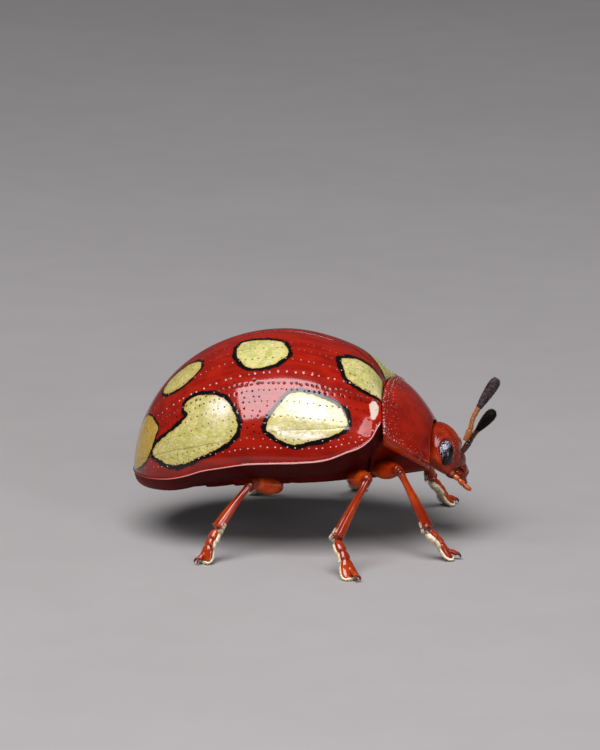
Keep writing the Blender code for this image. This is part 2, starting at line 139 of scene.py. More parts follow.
# Places in the spots that are whiter, the last of them a painted highlight over the front side spot: t, s,
# and how far they reach in each.
PALE_FLAKES_AND_PAINTED_HIGHLIGHT = (
    (0.405, 0.610, 0.045, 0.085), (0.160, 0.800, 0.060, 0.030), (0.245, 0.790, 0.030, 0.030),
    (0.015, 0.590, 0.030, 0.150), (0.165, 0.640, 0.065, 0.075),
)


# ---------------------------------------- numbers and curves

def world(points):
    """Body-frame millimetres as metres in the shared frame."""
    return (np.asarray(points, float) + (BODY_AHEAD, 0.0, 0.0)) * MM


def sided(points, side):
    """Points of the left side as they are (side 1), or mirrored to the right (side -1)."""
    return np.asarray(points, float) * (1.0, side, 1.0)


def lerp(a, b, share):
    return a + (b - a) * share


def smooth_step(low, high, value):
    t = np.clip((value - low) / (high - low), 0.0, 1.0)
    return t * t * (3 - 2 * t)


def swell(distance, at, wide, high=1.0):
    """A smooth rise of this height at a place, or a groove where high is below 0."""
    return high * np.exp(-((distance - at) / wide)**2)


def half_round(distance, half, high):
    """A raised line with a round back."""
    return high * np.sqrt(np.clip(1 - (distance / half)**2, 0.0, 1.0))


def rounded_off(distance, reach, deep):
    """How much an edge is worn down, this deep at the edge itself."""
    return -deep * np.clip(1 - distance / reach, 0.0, 1.0)**2


def smooth_interp(at, xs, ys):
    """A smooth curve through the knots (xs, ys), read at the given places."""
    xs, ys = np.array(xs, float), np.array(ys, float)
    slopes = np.gradient(ys, xs)
    i = np.clip(np.searchsorted(xs, at) - 1, 0, len(xs) - 2)
    step = xs[i + 1] - xs[i]
    t = np.clip((at - xs[i]) / step, 0.0, 1.0)
    return (ys[i] * (1 + 2 * t) * (1 - t)**2 + step * slopes[i] * t * (1 - t)**2
            + ys[i + 1] * t**2 * (3 - 2 * t) + step * slopes[i + 1] * t**2 * (t - 1))


def unit(vectors):
    return vectors / np.maximum(np.linalg.norm(vectors, axis=-1, keepdims=True), 1e-12)


def xyz(x, y, z):
    return np.stack(np.broadcast_arrays(x, y, z), axis=-1)


def eased(count):
    """Shares from 0 to 1, closer together near both ends."""
    return 0.5 - 0.5 * np.cos(np.linspace(0.0, np.pi, count))


def spans(*parts):
    """Numbers in a row; each part is where it starts and ends and how many they are."""
    return np.concatenate([np.linspace(*part) for part in parts])


def turns(count):
    """Even angles round a ring."""
    return np.linspace(0.0, 2 * np.pi, count, endpoint=False)


def curve(points, count, closed=False):
    """Points at even steps along a smooth curve through the given ones (Catmull-Rom)."""
    keys = np.array(points, float)
    if closed:
        keys = np.vstack([keys[-1:], keys, keys[:2]])
    else:
        keys = np.vstack([2 * keys[0] - keys[1], keys, 2 * keys[-1] - keys[-2]])
    pieces = len(keys) - 3
    at = np.linspace(0.0, pieces, count, endpoint=not closed)
    i = np.minimum(at.astype(int), pieces - 1)
    t = (at - i)[:, None]
    a, b, c, d = (keys[i + k] for k in range(4))
    return 0.5 * (2 * b + (c - a) * t + (2 * a - 5 * b + 4 * c - d) * t**2 + (3 * b - a - 3 * c + d) * t**3)


def run_along(line):
    """How far along a line of points each of them is."""
    return np.concatenate([[0.0], np.cumsum(np.linalg.norm(np.diff(line, axis=0), axis=1))])


def along_path(path, shares):
    """Points of a dense path at shares of its length."""
    run = run_along(path)
    return np.stack([np.interp(np.asarray(shares) * run[-1], run, column) for column in path.T], axis=1)


# ---------------------------------------- the body's surfaces

def suture_z(x):
    """Height of the middle line of the back."""
    ahead = np.clip((x - TOP_X) / -TOP_X, 0.0, 1.0)
    front = TOP_Z - BACK_FALL * ahead**1.8 - BASE_FALL * ahead**8.5
    share = np.clip((TOP_X - x) / (LENGTH + TOP_X), 0.0, 1.0)
    return np.where(x > TOP_X, front, APEX_Z + (TOP_Z - APEX_Z) * np.sqrt(1 - share**2))


def half_width(x):
    """Half the width of the wing cases, at the side ridge."""
    ahead = np.clip((x - WIDEST_X) / (SHOULDER_AHEAD - WIDEST_X), 0.0, 1.0)
    front = HALF_WIDTH - (HALF_WIDTH - SHOULDER_HALF_WIDTH) * ahead**2.4
    behind = np.clip((WIDEST_X - x) / (LENGTH + WIDEST_X), 0.0, 1.0)
    return np.where(x > WIDEST_X, front, HALF_WIDTH * (1 - behind**2.3)**(1 / 2.1))


def middle_x(t):
    return -LENGTH * np.sin(np.pi * t / 2)


def ridge(t):
    """The side ridge, on the left, from the shoulder (t = 0) to the apex (t = 1)."""
    x = middle_x(t) + SHOULDER_AHEAD * (1 - t)**6
    return xyz(x, half_width(x), smooth_interp(-x, RIDGE_BACK, RIDGE_Z))


def dome(t, s):
    """The wing case's outer face: s runs from the suture (0) to the ridge (1)."""
    angle = s * np.pi / 2
    edge = ridge(t)
    out = np.sin(angle)**RIB_POWER
    rise = np.maximum(np.cos(angle), 0.0)**(RIB_POWER + BASE_ARCH * (1 - t)**8)
    x = middle_x(t)
    return xyz(
        x + (edge[..., 0] - x) * out, edge[..., 1] * out, edge[..., 2] + (suture_z(x) - edge[..., 2]) * rise)


def rim(t):
    """The lower edge of the rim that folds under the ridge."""
    edge = ridge(t)
    full = np.minimum(edge[..., 1] / 0.9, 1.0)
    drop = APEX_DROP + (RIM_DROP - APEX_DROP) * full * (1 - t)
    return edge + xyz(0.12 * (1 - full), -RIM_IN * full, -drop)


def neck_x(z):
    """The leaning plane where the trunk meets the front thorax."""
    return NECK_LOW[0] + NECK_LEAN * (z - NECK_LOW[2])


def plate(u, s):
    """The front plate's outer face: u from its base (0) to its front (1), s from -1 (right) to 1 (left)."""
    x = PLATE_LENGTH * np.sin(np.pi / 2 * u)
    a, b = PLATE_SLOPE
    z = PLATE_BASE_Z - a * x - b * x**2
    edge = [
        lerp(back, front, u**power)
        for back, front, power in zip(CORNER_BACK, CORNER_FRONT, (1.0, 1.5, 1.05))]
    out = np.sin(s * np.pi / 2)
    rise = np.maximum(np.cos(s * np.pi / 2), 0.0)**lerp(*PLATE_ARCH, u)
    return xyz(x + (edge[0] - x) * out**2 + GAP, edge[1] * out, edge[2] + (z - edge[2]) * rise)


def fold(u):
    """The lower edge of the plate's folded side, on the left."""
    return plate(u, 1.0) + xyz(-0.06, -FOLD_IN, -lerp(FOLD_DROP_BACK, FOLD_DROP_FRONT, u))


# ---------------------------------------- meshes

COAT_MAP = "OFBake"
HAIR_ROOM = 0.0015  # half the room of one hair on that map
HAIR_ANGLES = np.arange(6) * np.pi / 3
# Where the seven points of one hair lie on the map, round the hair's own place.
HAIR_CORNERS = np.stack([np.cos(HAIR_ANGLES), np.sin(HAIR_ANGLES)], axis=1)
COAT_PATCH = HAIR_ROOM * np.vstack([HAIR_CORNERS, (0.0, 0.0)])


def ring_grid(rows, columns):
    """Point numbers of rows of closed rings, each point's neighbour in its ring, and the quads between."""
    at = np.arange(rows * columns).reshape(rows, columns)
    following = np.roll(at, -1, axis=1)
    return at, following, np.stack([at[:-1], following[:-1], following[1:], at[1:]], axis=-1)


def zip_across(outer, inner):
    """Triangles between two lines of point numbers that run the same way, however many points each has."""
    made, i, j = [], 0, 0
    last_i, last_j = len(outer) - 1, len(inner) - 1
    while i < last_i or j < last_j:
        if j == last_j or (i < last_i and (i + 1) * last_j <= (j + 1) * last_i):
            made.append((outer[i + 1], outer[i], inner[j]))
            i += 1
        else:
            made.append((inner[j], inner[j + 1], outer[i]))
            j += 1
    return made


class Shape:
    """Gathers points, faces and per-point values of one piece, in body-frame millimetres."""

    def __init__(self):
        self.points, self.quads, self.triangles, self.values = [], [], [], {}

    def add(self, points, quads=(), triangles=(), **values):
        points = np.asarray(points, float).reshape(-1, 3)
        quads = np.asarray(quads, int).reshape(-1, 4)
        triangles = np.asarray(triangles, int).reshape(-1, 3)
        corners = np.vstack([triangles, quads[:, (0, 1, 2)], quads[:, (0, 2, 3)]])
        a, b, c = np.moveaxis(points[corners] - points.mean(0), 1, 0)
        if np.einsum("ij,ij->", a, np.cross(b, c)) < 0:  # inside out
            quads, triangles = quads[:, ::-1], triangles[:, ::-1]
        before = sum(map(len, self.points))
        self.points.append(points)
        self.quads.append(quads + before)
        self.triangles.append(triangles + before)
        for name, value in values.items():
            self.values.setdefault(name, []).append(np.asarray(value, float).reshape(len(points), -1))

    def tube(self, points, **values):
        """A closed solid through rows of rings, both ends closed by a fan around their middle."""
        columns = np.shape(points)[1]
        at, following, quads = ring_grid(*np.shape(points)[:2])
        low = np.stack([following[0], at[0], np.full(columns, at.size)], axis=-1)
        high = np.stack([at[-1], following[-1], np.full(columns, at.size + 1)], axis=-1)

        def with_middles(rows):
            rows = np.asarray(rows, float)
            middles = rows[(0, -1), :].mean(axis=1)
            return np.concatenate([rows.reshape(at.size, -1), middles.reshape(2, -1)])

        values = {name: with_middles(value) for name, value in values.items()}
        self.add(with_middles(points), quads, np.vstack([low, high]), **values)

    def shell(self, points, outer_count, **values):
        """A thin closed wall: rows of rings, the first columns its outer face and the rest its inner one."""
        at, _, quads = ring_grid(*points.shape[:2])
        low, high = (zip_across(row[:outer_count], row[outer_count:][::-1]) for row in (at[0], at[-1]))
        self.add(points, quads, low + [(a, c, b) for a, b, c in high], **values)

    def hairs(self, roots, tips, radius, at):
        """Thin three-sided spikes from roots to tips; at is each root's place on the skin's own unwrap."""
        ahead = unit(tips - roots)
        side = unit(np.cross(ahead, (0.31, 0.52, 0.79)))
        up = np.cross(ahead, side)
        spikes = [
            lerp(roots, tips, share) + (side * np.cos(turn) + up * np.sin(turn)) * radius * width
            for share, width in ((0.0, 1.0), (0.55, 0.75)) for turn in 2 * np.pi * np.arange(3) / 3]
        points = np.stack(spikes + [tips], axis=1)
        first = 7 * np.arange(len(roots))[:, None, None]
        wall = np.array([(k, (k + 1) % 3, 3 + (k + 1) % 3, 3 + k) for k in range(3)])
        caps = np.array([(2, 1, 0)] + [(3 + k, 3 + (k + 1) % 3, 6) for k in range(3)])
        coat = lerp(0.02, 0.98, at)[:, None] + COAT_PATCH
        self.add(points, first + wall, first + caps, coat=coat)

    def piece(self, name, material, slot, *replaces):
        """Makes the scene's object of it, riding on the body and standing for the named CAD nodes."""
        mesh = bpy.data.meshes.new(name)
        faces = np.vstack(self.quads).tolist() + np.vstack(self.triangles).tolist()
        mesh.from_pydata(world(np.vstack(self.points)).tolist(), [], faces)
        for key, parts in sorted(self.values.items()):
            data = np.vstack(parts).astype(np.float32)
            if key == "coat":
                corners = np.empty(len(mesh.loops), np.int32)
                mesh.loops.foreach_get("vertex_index", corners)
                mesh.uv_layers.new(name=COAT_MAP).data.foreach_set("uv", data[corners].ravel())
            else:
                kind, field = ("FLOAT_VECTOR", "vector") if data.shape[1] == 3 else ("FLOAT", "value")
                mesh.attributes.new(key, kind, "POINT").data.foreach_set(field, data.ravel())
        mesh.materials.append(material)
        mesh.shade_smooth()
        mesh.update()
        obj = bpy.data.objects.new(name, mesh)
        bpy.context.scene.collection.objects.link(obj)
        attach(obj, "root")
        if replaces:
            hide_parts(*replaces)


def pushed(points, push):
    """A grid of rings, rows along the piece and columns round it, with each point moved out by its push."""
    padded = np.concatenate([points[:, -1:], points, points[:, :1]], axis=1)
    round_it = (padded[:, 2:] - padded[:, :-2]) / 2
    normals = unit(np.cross(np.gradient(points, axis=0), round_it))
    outward = points - points.mean(axis=1, keepdims=True)
    if np.einsum("ijk,ijk->", normals, outward) < 0:
        normals = -normals
    return points + normals * push[..., None]


PIT_REACH = 3.0  # how far from its centre a pit is felt, in its radii


def nearest_pits(points, centres, radii, where=1.0, **values):
    """Each point's nearest pit: pit, the vector from its centre in its radii (long where none is near),
    pit_gap, its length, and the pit's other values, masked by where."""
    flat = points.reshape(-1, 3)
    gap = np.full(len(flat), PIT_REACH)
    pit = np.zeros((len(flat), 3))
    pit[:, 0] = PIT_REACH
    found = {name: np.zeros(len(flat)) for name in values}
    for k, (centre, radius) in enumerate(zip(centres, radii)):
        near = np.flatnonzero(np.abs(flat - centre).max(axis=1) < PIT_REACH * radius)
        offset = (flat[near] - centre) / radius
        far = np.linalg.norm(offset, axis=1)
        closer = far < gap[near]
        near = near[closer]
        gap[near], pit[near] = far[closer], offset[closer]
        for name, value in values.items():
            found[name][near] = value[k]
    shape = points.shape[:-1]
    found = {name: value.reshape(shape) * where for name, value in found.items()}
    return {"pit": pit.reshape(points.shape), "pit_gap": gap.reshape(shape), **found}


def pit_push(pits, deep):
    """How far the pits sink a surface, each this deep in its middle."""
    return -deep * np.clip(1 - pits["pit_gap"]**2, 0.0, 1.0)**1.5


# ---------------------------------------- wing cases

SEAM = 0.012  # half the gap between the two wing cases
ALONG, ROUND = 415, 150  # rows and columns of the grid
ALONG_MM, ROUND_MM = 11.8, 5.0  # about how long t and s are
INNER_FACE = 0.93  # how far the inner face reaches from CORE to the outer one
NO_S = 1.3  # what s says under the ridge and inside
BEAD_HEIGHT, BEAD_HALF = 0.022, 0.025  # the raised line along the side ridge
PIT_DEPTH = 0.20  # of a pit's radius; the material adds the rest
# Rows of pits: s at the base, the middle and the apex, the spacing and radius in mm, the strength, and how
# pale the bottoms are, a painted highlight in each pit.
PIT_ROWS = (
    (0.050, 0.050, 0.10, 0.27, 0.028, 0.4, 0.0), (0.115, 0.110, 0.16, 0.25, 0.030, 0.5, 0.0),
    (0.180, 0.175, 0.22, 0.23, 0.034, 0.6, 0.3), (0.245, 0.235, 0.28, 0.21, 0.038, 0.8, 0.3),
    (0.320, 0.335, 0.36, 0.21, 0.042, 0.9, 0.7), (0.390, 0.470, 0.50, 0.235, 0.056, 1.0, 1.0),
    (0.462, 0.535, 0.57, 0.165, 0.058, 1.0, 0.2), (0.500, 0.585, 0.62, 0.17, 0.046, 1.0, 0.0),
    (0.580, 0.645, 0.67, 0.19, 0.040, 1.0, 0.0), (0.680, 0.720, 0.72, 0.22, 0.034, 0.8, 0.0),
    (0.820, 0.850, 0.85, 0.22, 0.032, 0.8, 0.8), (0.865, 0.905, 0.90, 0.20, 0.040, 0.9, 1.0),
)
# Scattered ones between the two side spots: t and s from and to, how many, and how far apart in mm.
SIDE_T, SIDE_S, SIDE_COUNT, SIDE_SPACE = (0.265, 0.385), (0.48, 0.84), 70, 0.150
SPOT_REACH = 0.6  # how far from its edge a spot is felt, in mm


def crease_s(t):
    """Where the fine line along the side runs."""
    return 0.735 + 0.10 * smooth_step(0.05, 0.42, t) - 0.03 * smooth_step(0.45, 0.60, t)


def wing_pits(rng):
    """t, s, radius, strength and paleness of the pits of a wing case; the paleness is a painted highlight."""
    found = []
    t = np.linspace(0.004, 0.97, 600)
    for base, middle, apex, step, radius, strength, glint in PIT_ROWS:
        s = np.interp(t, (0.0, 0.5, 1.0), (base, middle, apex))
        run = run_along(dome(t, s))
        stops = np.arange(0.10, run[-1], step)
        stops = stops + rng.uniform(-0.2, 0.2, len(stops)) * step
        at_t = np.interp(stops, run, t)
        at_s = np.interp(at_t, t, s) + rng.normal(0.0, 0.003, len(stops))
        fading = lerp(1.0, 0.5, smooth_step(0.5, 0.8, at_t))
        sizes = radius * fading * rng.uniform(0.85, 1.15, len(stops))
        strengths = strength * fading * rng.uniform(0.8, 1.0, len(stops))
        found += zip(at_t, at_s, sizes, strengths, glint * rng.uniform(0.5, 1.0, len(stops)))
    taken = dome(*np.array(found).T[:2])
    missing = SIDE_COUNT
    while missing:
        t, s = rng.uniform(*SIDE_T), rng.uniform(*SIDE_S)
        place = dome(t, s)
        if np.linalg.norm(taken - place, axis=1).min() > SIDE_SPACE:
            taken = np.vstack([taken, place])
            found.append((t, s, rng.uniform(0.040, 0.052), 1.0, 0.0))
            missing -= 1
        elif rng.uniform() < 0.004:  # no room for more
            break
    return np.array(found).T


def inside_outline(t, s, outline):
    """Whether each (t, s) lies inside the closed outline (a ray crosses it an odd number of times)."""
    crossings = np.zeros(t.shape, bool)
    for (t0, s0), (t1, s1) in zip(outline, np.roll(outline, -1, axis=0)):
        beside = (s0 > s) != (s1 > s)
        with np.errstate(divide="ignore", invalid="ignore"):
            crossings ^= beside & (t < (t1 - t0) * (s - s0) / (s1 - s0) + t0)
    return crossings


def spot_fields(t, s, points):
    """The distance to the nearest spot's edge in mm, positive inside it, with that spot's tone and ring."""
    edge = np.full(t.shape, -SPOT_REACH)
    tone, ring = np.full(t.shape, 0.3), np.zeros(t.shape)
    for spot_tone, spot_ring, outline in SPOTS:
        outline = curve(outline, 14 * len(outline), closed=True)
        line = dome(*outline.T)
        near = ((points > line.min(0) - SPOT_REACH) & (points < line.max(0) + SPOT_REACH)).all(axis=-1)
        close = points[near]
        gap = np.full(len(close), np.inf)
        for a, b in zip(line, np.roll(line, -1, axis=0)):
            share = np.clip((close - a) @ (b - a) / np.dot(b - a, b - a), 0.0, 1.0)
            gap = np.minimum(gap, ((close - a - share[:, None] * (b - a))**2).sum(axis=1))
        signed = np.sqrt(gap) * np.where(inside_outline(t[near], s[near], outline), 1.0, -1.0)
        closer = signed > edge[near]
        for values, mine in ((edge, signed), (tone, spot_tone), (ring, spot_ring)):
            values[near] = np.where(closer, mine, values[near])
    return {"edge": edge, "tone": tone, "ring": ring}


def wing_case():
    """The left wing case: its points, how many columns are its outer face, and its per-point values."""
    t = np.concatenate([(0.0, 0.0008, 0.0018, 0.003, 0.0045), np.linspace(0.006, 0.994, ALONG)])[:, None]
    s = np.concatenate([
        (0.0, 0.003, 0.006, 0.010, 0.015, 0.021), np.linspace(0.028, 0.962, ROUND),
        (0.968, 0.974, 0.979, 0.984, 0.988, 0.992, 0.996, 1.0)])[None]
    v = spans((0.02, 0.14, 7), (0.18, 1.0, 18))[None, :, None]
    w = np.array([(0.3, 0.65, 1.0)])
    edge, low = ridge(t), rim(t)
    band = lerp(edge, low, v) + xyz(0.0, 0.03, -0.05) * np.sin(np.pi * v)
    lip = low + xyz(0.0, -np.minimum(RIM_THICK, edge[..., 1] * 0.4) * w, 0.12 * w**2)
    inner = CORE + (dome(t, np.linspace(0.96, 0.0, 12)[None]) - CORE) * INNER_FACE
    base = np.concatenate([dome(t, s), band, lip, inner], axis=1)
    base[..., 1] = np.maximum(base[..., 1], 0.0) + SEAM
    outer_count = base.shape[1] - inner.shape[1]

    full_t = np.broadcast_to(t, base.shape[:2])
    full_s = np.full(base.shape[:2], NO_S)
    full_s[:, :s.shape[1]] = s
    above = full_s < 1.0
    from_ridge = np.linalg.norm(base - (edge + (0.0, SEAM, 0.0)), axis=-1)
    from_ridge[:, outer_count:] = 1.0
    crease = np.abs(full_s - crease_s(full_t)) * ROUND_MM

    pit_t, pit_s, radii, strengths, painted_glints = wing_pits(np.random.default_rng(7))
    centres = dome(pit_t, pit_s) + (0.0, SEAM, 0.0)
    pits = nearest_pits(base, centres, radii, above, dent=strengths, deep=radii, glint=painted_glints)
    # pale flakes, and the last patch a painted highlight
    pale = sum(
        swell(full_t, middle_t, reach_t) * swell(full_s, middle_s, reach_s)
        for middle_t, middle_s, reach_t, reach_s in PALE_FLAKES_AND_PAINTED_HIGHLIGHT)
    push = (
        half_round(from_ridge, BEAD_HALF, BEAD_HEIGHT)
        + swell(from_ridge, 0.075, 0.025, -0.012) * above
        + rounded_off(full_s * ROUND_MM, 0.10, 0.03) * above
        + rounded_off(full_t * ALONG_MM, 0.07, 0.035)
        + swell(crease, 0.0, 0.03, -0.008) * smooth_step(0.05, 0.12, full_t) * smooth_step(0.8, 0.6, full_t)
        + pit_push(pits, PIT_DEPTH * pits["deep"]))
    push[:, outer_count:] = 0.0
    values = {
        **spot_fields(full_t, full_s, base - (0.0, SEAM, 0.0)), **pits, "pale": pale,
        "crease": np.where(above, crease, 1.0), "ridge_gap": from_ridge, "along": full_t, "round_it": full_s}
    return pushed(base, push), outer_count, values


def add_wing_cases(looks):
    points, outer_count, values = wing_case()
    for word, side in SIDES:
        shape = Shape()
        shape.shell(sided(points, side), outer_count, **{**values, "pit": sided(values["pit"], side)})
        shape.piece("elytron_shell_" + word, looks["shell_gloss"], "cuticle_red", "elytron_" + word)


def add_scutellum(looks):
    """The small shield between the bases of the wing cases."""
    x = np.linspace(0.02, -SHIELD_LENGTH + 0.01, 26)[:, None]
    turn = turns(40)[None]
    half = SHIELD_HALF_WIDTH * np.clip(1 + x / SHIELD_LENGTH, 0.02, 1.0)**0.8 - 0.01
    across, up = np.cos(turn), np.sin(turn)
    across = np.sign(across) * np.abs(across)**0.6
    rise = np.where(up > 0, 0.045 * np.abs(up)**0.7, -0.16 * np.abs(up)**0.5)
    shape = Shape()
    shape.tube(xyz(x, half * across, suture_z(np.minimum(x, 0.0)) - 0.03 + rise))
    shape.piece("scutellum_shield", looks["body_red"], "cuticle_red", "scutellum")


# ---------------------------------------- trunk

STERNITE_ENDS = (-3.0, -4.35, -5.2, -6.0, -6.8)  # x of the rear edges of the belly's plates
ROOF, WALL, BELLY = 40, 14, 70  # columns of half the trunk's grid
TRUNK_PITS = 700
SOCKET_RADIUS = 0.46


def trunk_grid(t):
    """Ribs of the body under the wing cases: its dome, the waist inside their rims, and the belly."""
    t = t[:, None]
    roof = CORE + (dome(t, np.linspace(0.0, 1.0, ROOF)[None]) - CORE) * BODY_UNDER_SHELL
    edge = rim(t)
    inset = np.minimum(RIM_THICK, edge[..., 1] * 0.4) + GAP
    waist = xyz(edge[..., 0], np.maximum(edge[..., 1] - inset, 0.06), edge[..., 2] + 0.14)
    roof[:, -1:, 1] = np.minimum(roof[:, -1:, 1], edge[..., 1] + 0.02)
    wall = lerp(roof[:, -1:], waist, np.linspace(0.0, 1.0, WALL + 1)[1:][None, :, None])
    out = np.cos(np.linspace(0.0, np.pi / 2, BELLY + 1)[None, 1:])
    low = np.interp(edge[..., 0], BELLY_X, BELLY_Z)
    belly = xyz(edge[..., 0], waist[..., 1] * out, low + (waist[..., 2] - low) * out**2.2)
    half = np.concatenate([roof, wall, belly], axis=1)
    return np.concatenate([half, sided(half, -1)[:, 1:-1][:, ::-1]], axis=1)


def socket_furrow(x, y, hip, wide, deep):
    """The furrow round a leg's socket."""
    return swell(np.sqrt((x - hip[0])**2 + (y - hip[1])**2), SOCKET_RADIUS, wide, -deep)


def add_trunk(looks):
    cut = 2 / np.pi * np.arcsin(-WAIST_X / LENGTH)
    points = trunk_grid(np.concatenate([np.linspace(0.012, cut, 130), np.linspace(cut, 0.955, 210)[1:]]))
    x, y, z = np.moveaxis(points, -1, 0)
    foremost = x[0].max()
    front = np.minimum(neck_x(z), foremost) - GAP / 2
    share = (x - WAIST_X) / (foremost - WAIST_X)
    x[:] = np.where(x > WAIST_X, WAIST_X + share * (front - WAIST_X), x)
    below = smooth_step(2.6, 1.9, z)
    push, plates = np.zeros(x.shape), np.zeros(x.shape)
    for k, end in enumerate(STERNITE_ENDS):
        behind = end + 0.10 * (y / 2.5)**2 * (1 if k else -1) - x
        push -= 0.055 * smooth_step(-0.02, 0.05, behind) * np.exp(-np.maximum(behind, 0.0) / 0.45) * below
        plates = np.maximum(plates, swell(behind, 0.02, 0.05) * below)
    push -= swell(y, 0.0, 0.05, 0.06) * below * (x > WAIST_X) * smooth_step(-0.9, -1.3, x)  # middle groove
    for hip, *_ in LEGS.values():
        push += socket_furrow(x, y, hip, 0.06, 0.07) * below
    rng = np.random.default_rng(11)
    rows, columns = rng.integers(0, x.shape[0], TRUNK_PITS), rng.integers(54, x.shape[1] - 54, TRUNK_PITS)
    radii = rng.uniform(0.025, 0.045, TRUNK_PITS)
    pits = nearest_pits(points, points[rows, columns], radii, dent=np.full(TRUNK_PITS, 0.8))
    push += pit_push(pits, 0.012 * pits["dent"])
    shape = Shape()
    shape.tube(pushed(points, push), seam=plates, **pits)
    shape.piece("trunk_skin", looks["belly_red"], "cuticle_red", "thorax", "abdomen")


# ---------------------------------------- front thorax

PLATE_PIT_SPACE = 0.085
PLATE_ALONG, PLATE_ROUND = 170, 260  # rows and columns of its grid
PLATE_FRONT_MM, PLATE_BACK_MM = 1.5, 1.9  # how long u is near each end
NECK_SKIN = 0.16  # half its length


def plate_core_share(u):
    """How far the plate's inside reaches from PLATE_CORE to its outer face."""
    return (0.84 + 0.11 * u**2)[..., None]


def plate_pits(rng):
    """u, s, radius, strength and paleness of the front plate's pits: two rows at the base, then scattered
    ones, coarse near the base and the sides. The paleness is a painted highlight."""
    row, across = np.meshgrid((0.026, 0.085), np.linspace(-0.96, 0.96, 62))
    u, s = rng.uniform(0.10, 0.97, 1500), rng.uniform(-0.96, 0.96, 1500)
    coarse = np.clip(np.maximum(1 - u / 0.40, (np.abs(s) - 0.50) / 0.50), 0.0, 1.0)
    wanted = rng.uniform(size=len(u)) < 0.10 + 0.6 * coarse
    u = np.concatenate([row.ravel() + rng.uniform(-0.012, 0.012, row.size), u[wanted]])
    s = np.concatenate([across.ravel() + rng.uniform(-0.006, 0.006, row.size), s[wanted]])
    coarse = np.concatenate([np.ones(row.size), coarse[wanted]])
    places, kept = plate(u, s), []
    for k, place in enumerate(places):
        if not kept or np.linalg.norm(places[kept] - place, axis=1).min() > PLATE_PIT_SPACE:
            kept.append(k)
    coarse = coarse[kept]
    # the pale bottoms of the coarse pits are a painted highlight
    painted_glints = coarse * rng.uniform(0.2, 1.0, len(kept))
    return u[kept], s[kept], 0.020 + 0.016 * coarse, 0.45 + 0.50 * coarse, painted_glints


def add_pronotum(looks):
    first, last = (0.0, 0.004, 0.009, 0.015), (0.985, 0.991, 0.996, 1.0)
    u = np.concatenate([first, np.linspace(0.022, 0.978, PLATE_ALONG), last])[:, None]
    arc = np.linspace(-1.0, 1.0, PLATE_ROUND)
    s = (arc + 0.012 * np.sin(np.pi * arc))[None]
    v = spans((0.03, 0.2, 6), (0.26, 1.0, 12))[None, :, None]
    edge, low = plate(u, np.ones((1, 1))), fold(u)
    side = lerp(edge, low, v) + xyz(0.0, 0.02, -0.04) * np.sin(np.pi * v)
    s_inner = np.linspace(0.97, -0.97, 24)[None]
    inner = PLATE_CORE + (plate(u, s_inner) - PLATE_CORE) * (plate_core_share(u) + 0.05)
    lip = low + xyz(0.0, -0.16, 0.05)
    other = sided(side, -1)[:, ::-1]
    points = np.concatenate([other, plate(u, s), side, lip, inner, sided(lip, -1)], axis=1)
    side_count = v.shape[1]
    outer_count = 2 * side_count + PLATE_ROUND

    full_u = np.broadcast_to(u, points.shape[:2])
    full_s = np.full(points.shape[:2], NO_S)
    full_s[:, side_count:side_count + PLATE_ROUND] = s
    above = np.abs(full_s) <= 1.0
    from_side = np.minimum(*(np.linalg.norm(points - sided(edge, way), axis=-1) for _, way in SIDES))
    from_front, from_back = (1 - full_u) * PLATE_FRONT_MM, full_u * PLATE_BACK_MM
    pit_u, pit_s, radii, strengths, painted_glints = plate_pits(np.random.default_rng(5))
    pits = nearest_pits(
        points, plate(pit_u, pit_s), radii, above, dent=strengths, deep=radii, glint=painted_glints)
    rims = (
        swell(from_front, 0.05, 0.035, 0.018) + swell(from_front, 0.13, 0.04, -0.014)
        + swell(from_back, 0.11, 0.05, 0.034) + swell(from_back, 0.22, 0.05, -0.018))
    push = (
        half_round(from_side, 0.075, 0.05) + swell(from_side, 0.12, 0.03, -0.03) + rims * above
        + rounded_off(from_front, 0.05, 0.035) + rounded_off(from_back, 0.05, 0.035)
        + swell(np.abs(full_s), 0.80, 0.10, -0.03) * swell(full_u, 0.42, 0.3) * above
        + pit_push(pits, PIT_DEPTH * pits["deep"]))
    push[:, outer_count:] = 0.0
    shape = Shape()
    # painted shade: darker towards the front of the plate
    seam = 0.5 * smooth_step(0.62, 0.95, full_u) * above
    # fold: painted light on the plate's folded sides, which lie in shade
    shape.shell(pushed(points, push), outer_count, fold=1.0 - above, seam=seam, **pits)
    shape.piece("pronotum_plate", looks["body_red"], "cuticle_red", "pronotum")


def add_prosternum(looks):
    """The breast under the front plate, with a ridge between the front legs' sockets."""
    u = np.linspace(0.0, 0.93, 110)[:, None]
    roof = PLATE_CORE + (plate(u, np.linspace(-1, 1, 60)[None]) - PLATE_CORE) * (plate_core_share(u) - 0.02)
    low = lerp(BREAST_BACK_Z, BREAST_FRONT_Z, u)
    edge = fold(u) + xyz(0.0, -0.24 - GAP, 0.10)
    roof[:, -1:], roof[:, :1] = edge, sided(edge, -1)
    out = np.cos(np.linspace(0.0, np.pi, 122)[None, 1:-1])
    z = low + (edge[..., 2] - low) * np.abs(out)**1.8
    under = xyz(neck_x(z) + GAP / 2 + (BREAST_FRONT_X - neck_x(z)) * u, edge[..., 1] * out, z)
    points = np.concatenate([roof, under], axis=1)
    x, y, z = np.moveaxis(points, -1, 0)
    push = swell(y, 0.0, 0.16, 0.07)
    for word, _ in SIDES:
        push += socket_furrow(x, y, LEGS["front_" + word][0], 0.07, 0.06)
    shape = Shape()
    shape.tube(pushed(points, push * smooth_step(2.7, 2.2, z)))
    shape.piece("prosternum_plate", looks["breast_red"], "cuticle_red", "prosternum")
    # the dark skin that joins it to the trunk
    middle = points[0].mean(axis=0)
    ring = middle + (points[0] - middle) * (1.0, 0.90, 0.90)
    shape = Shape()
    shape.tube([ring + (reach, 0.0, 0.0) for reach in np.linspace(-NECK_SKIN, NECK_SKIN, 9)])
    shape.piece("neck_skin", looks["neck_dark"], "cuticle_red")


# ---------------------------------------- head

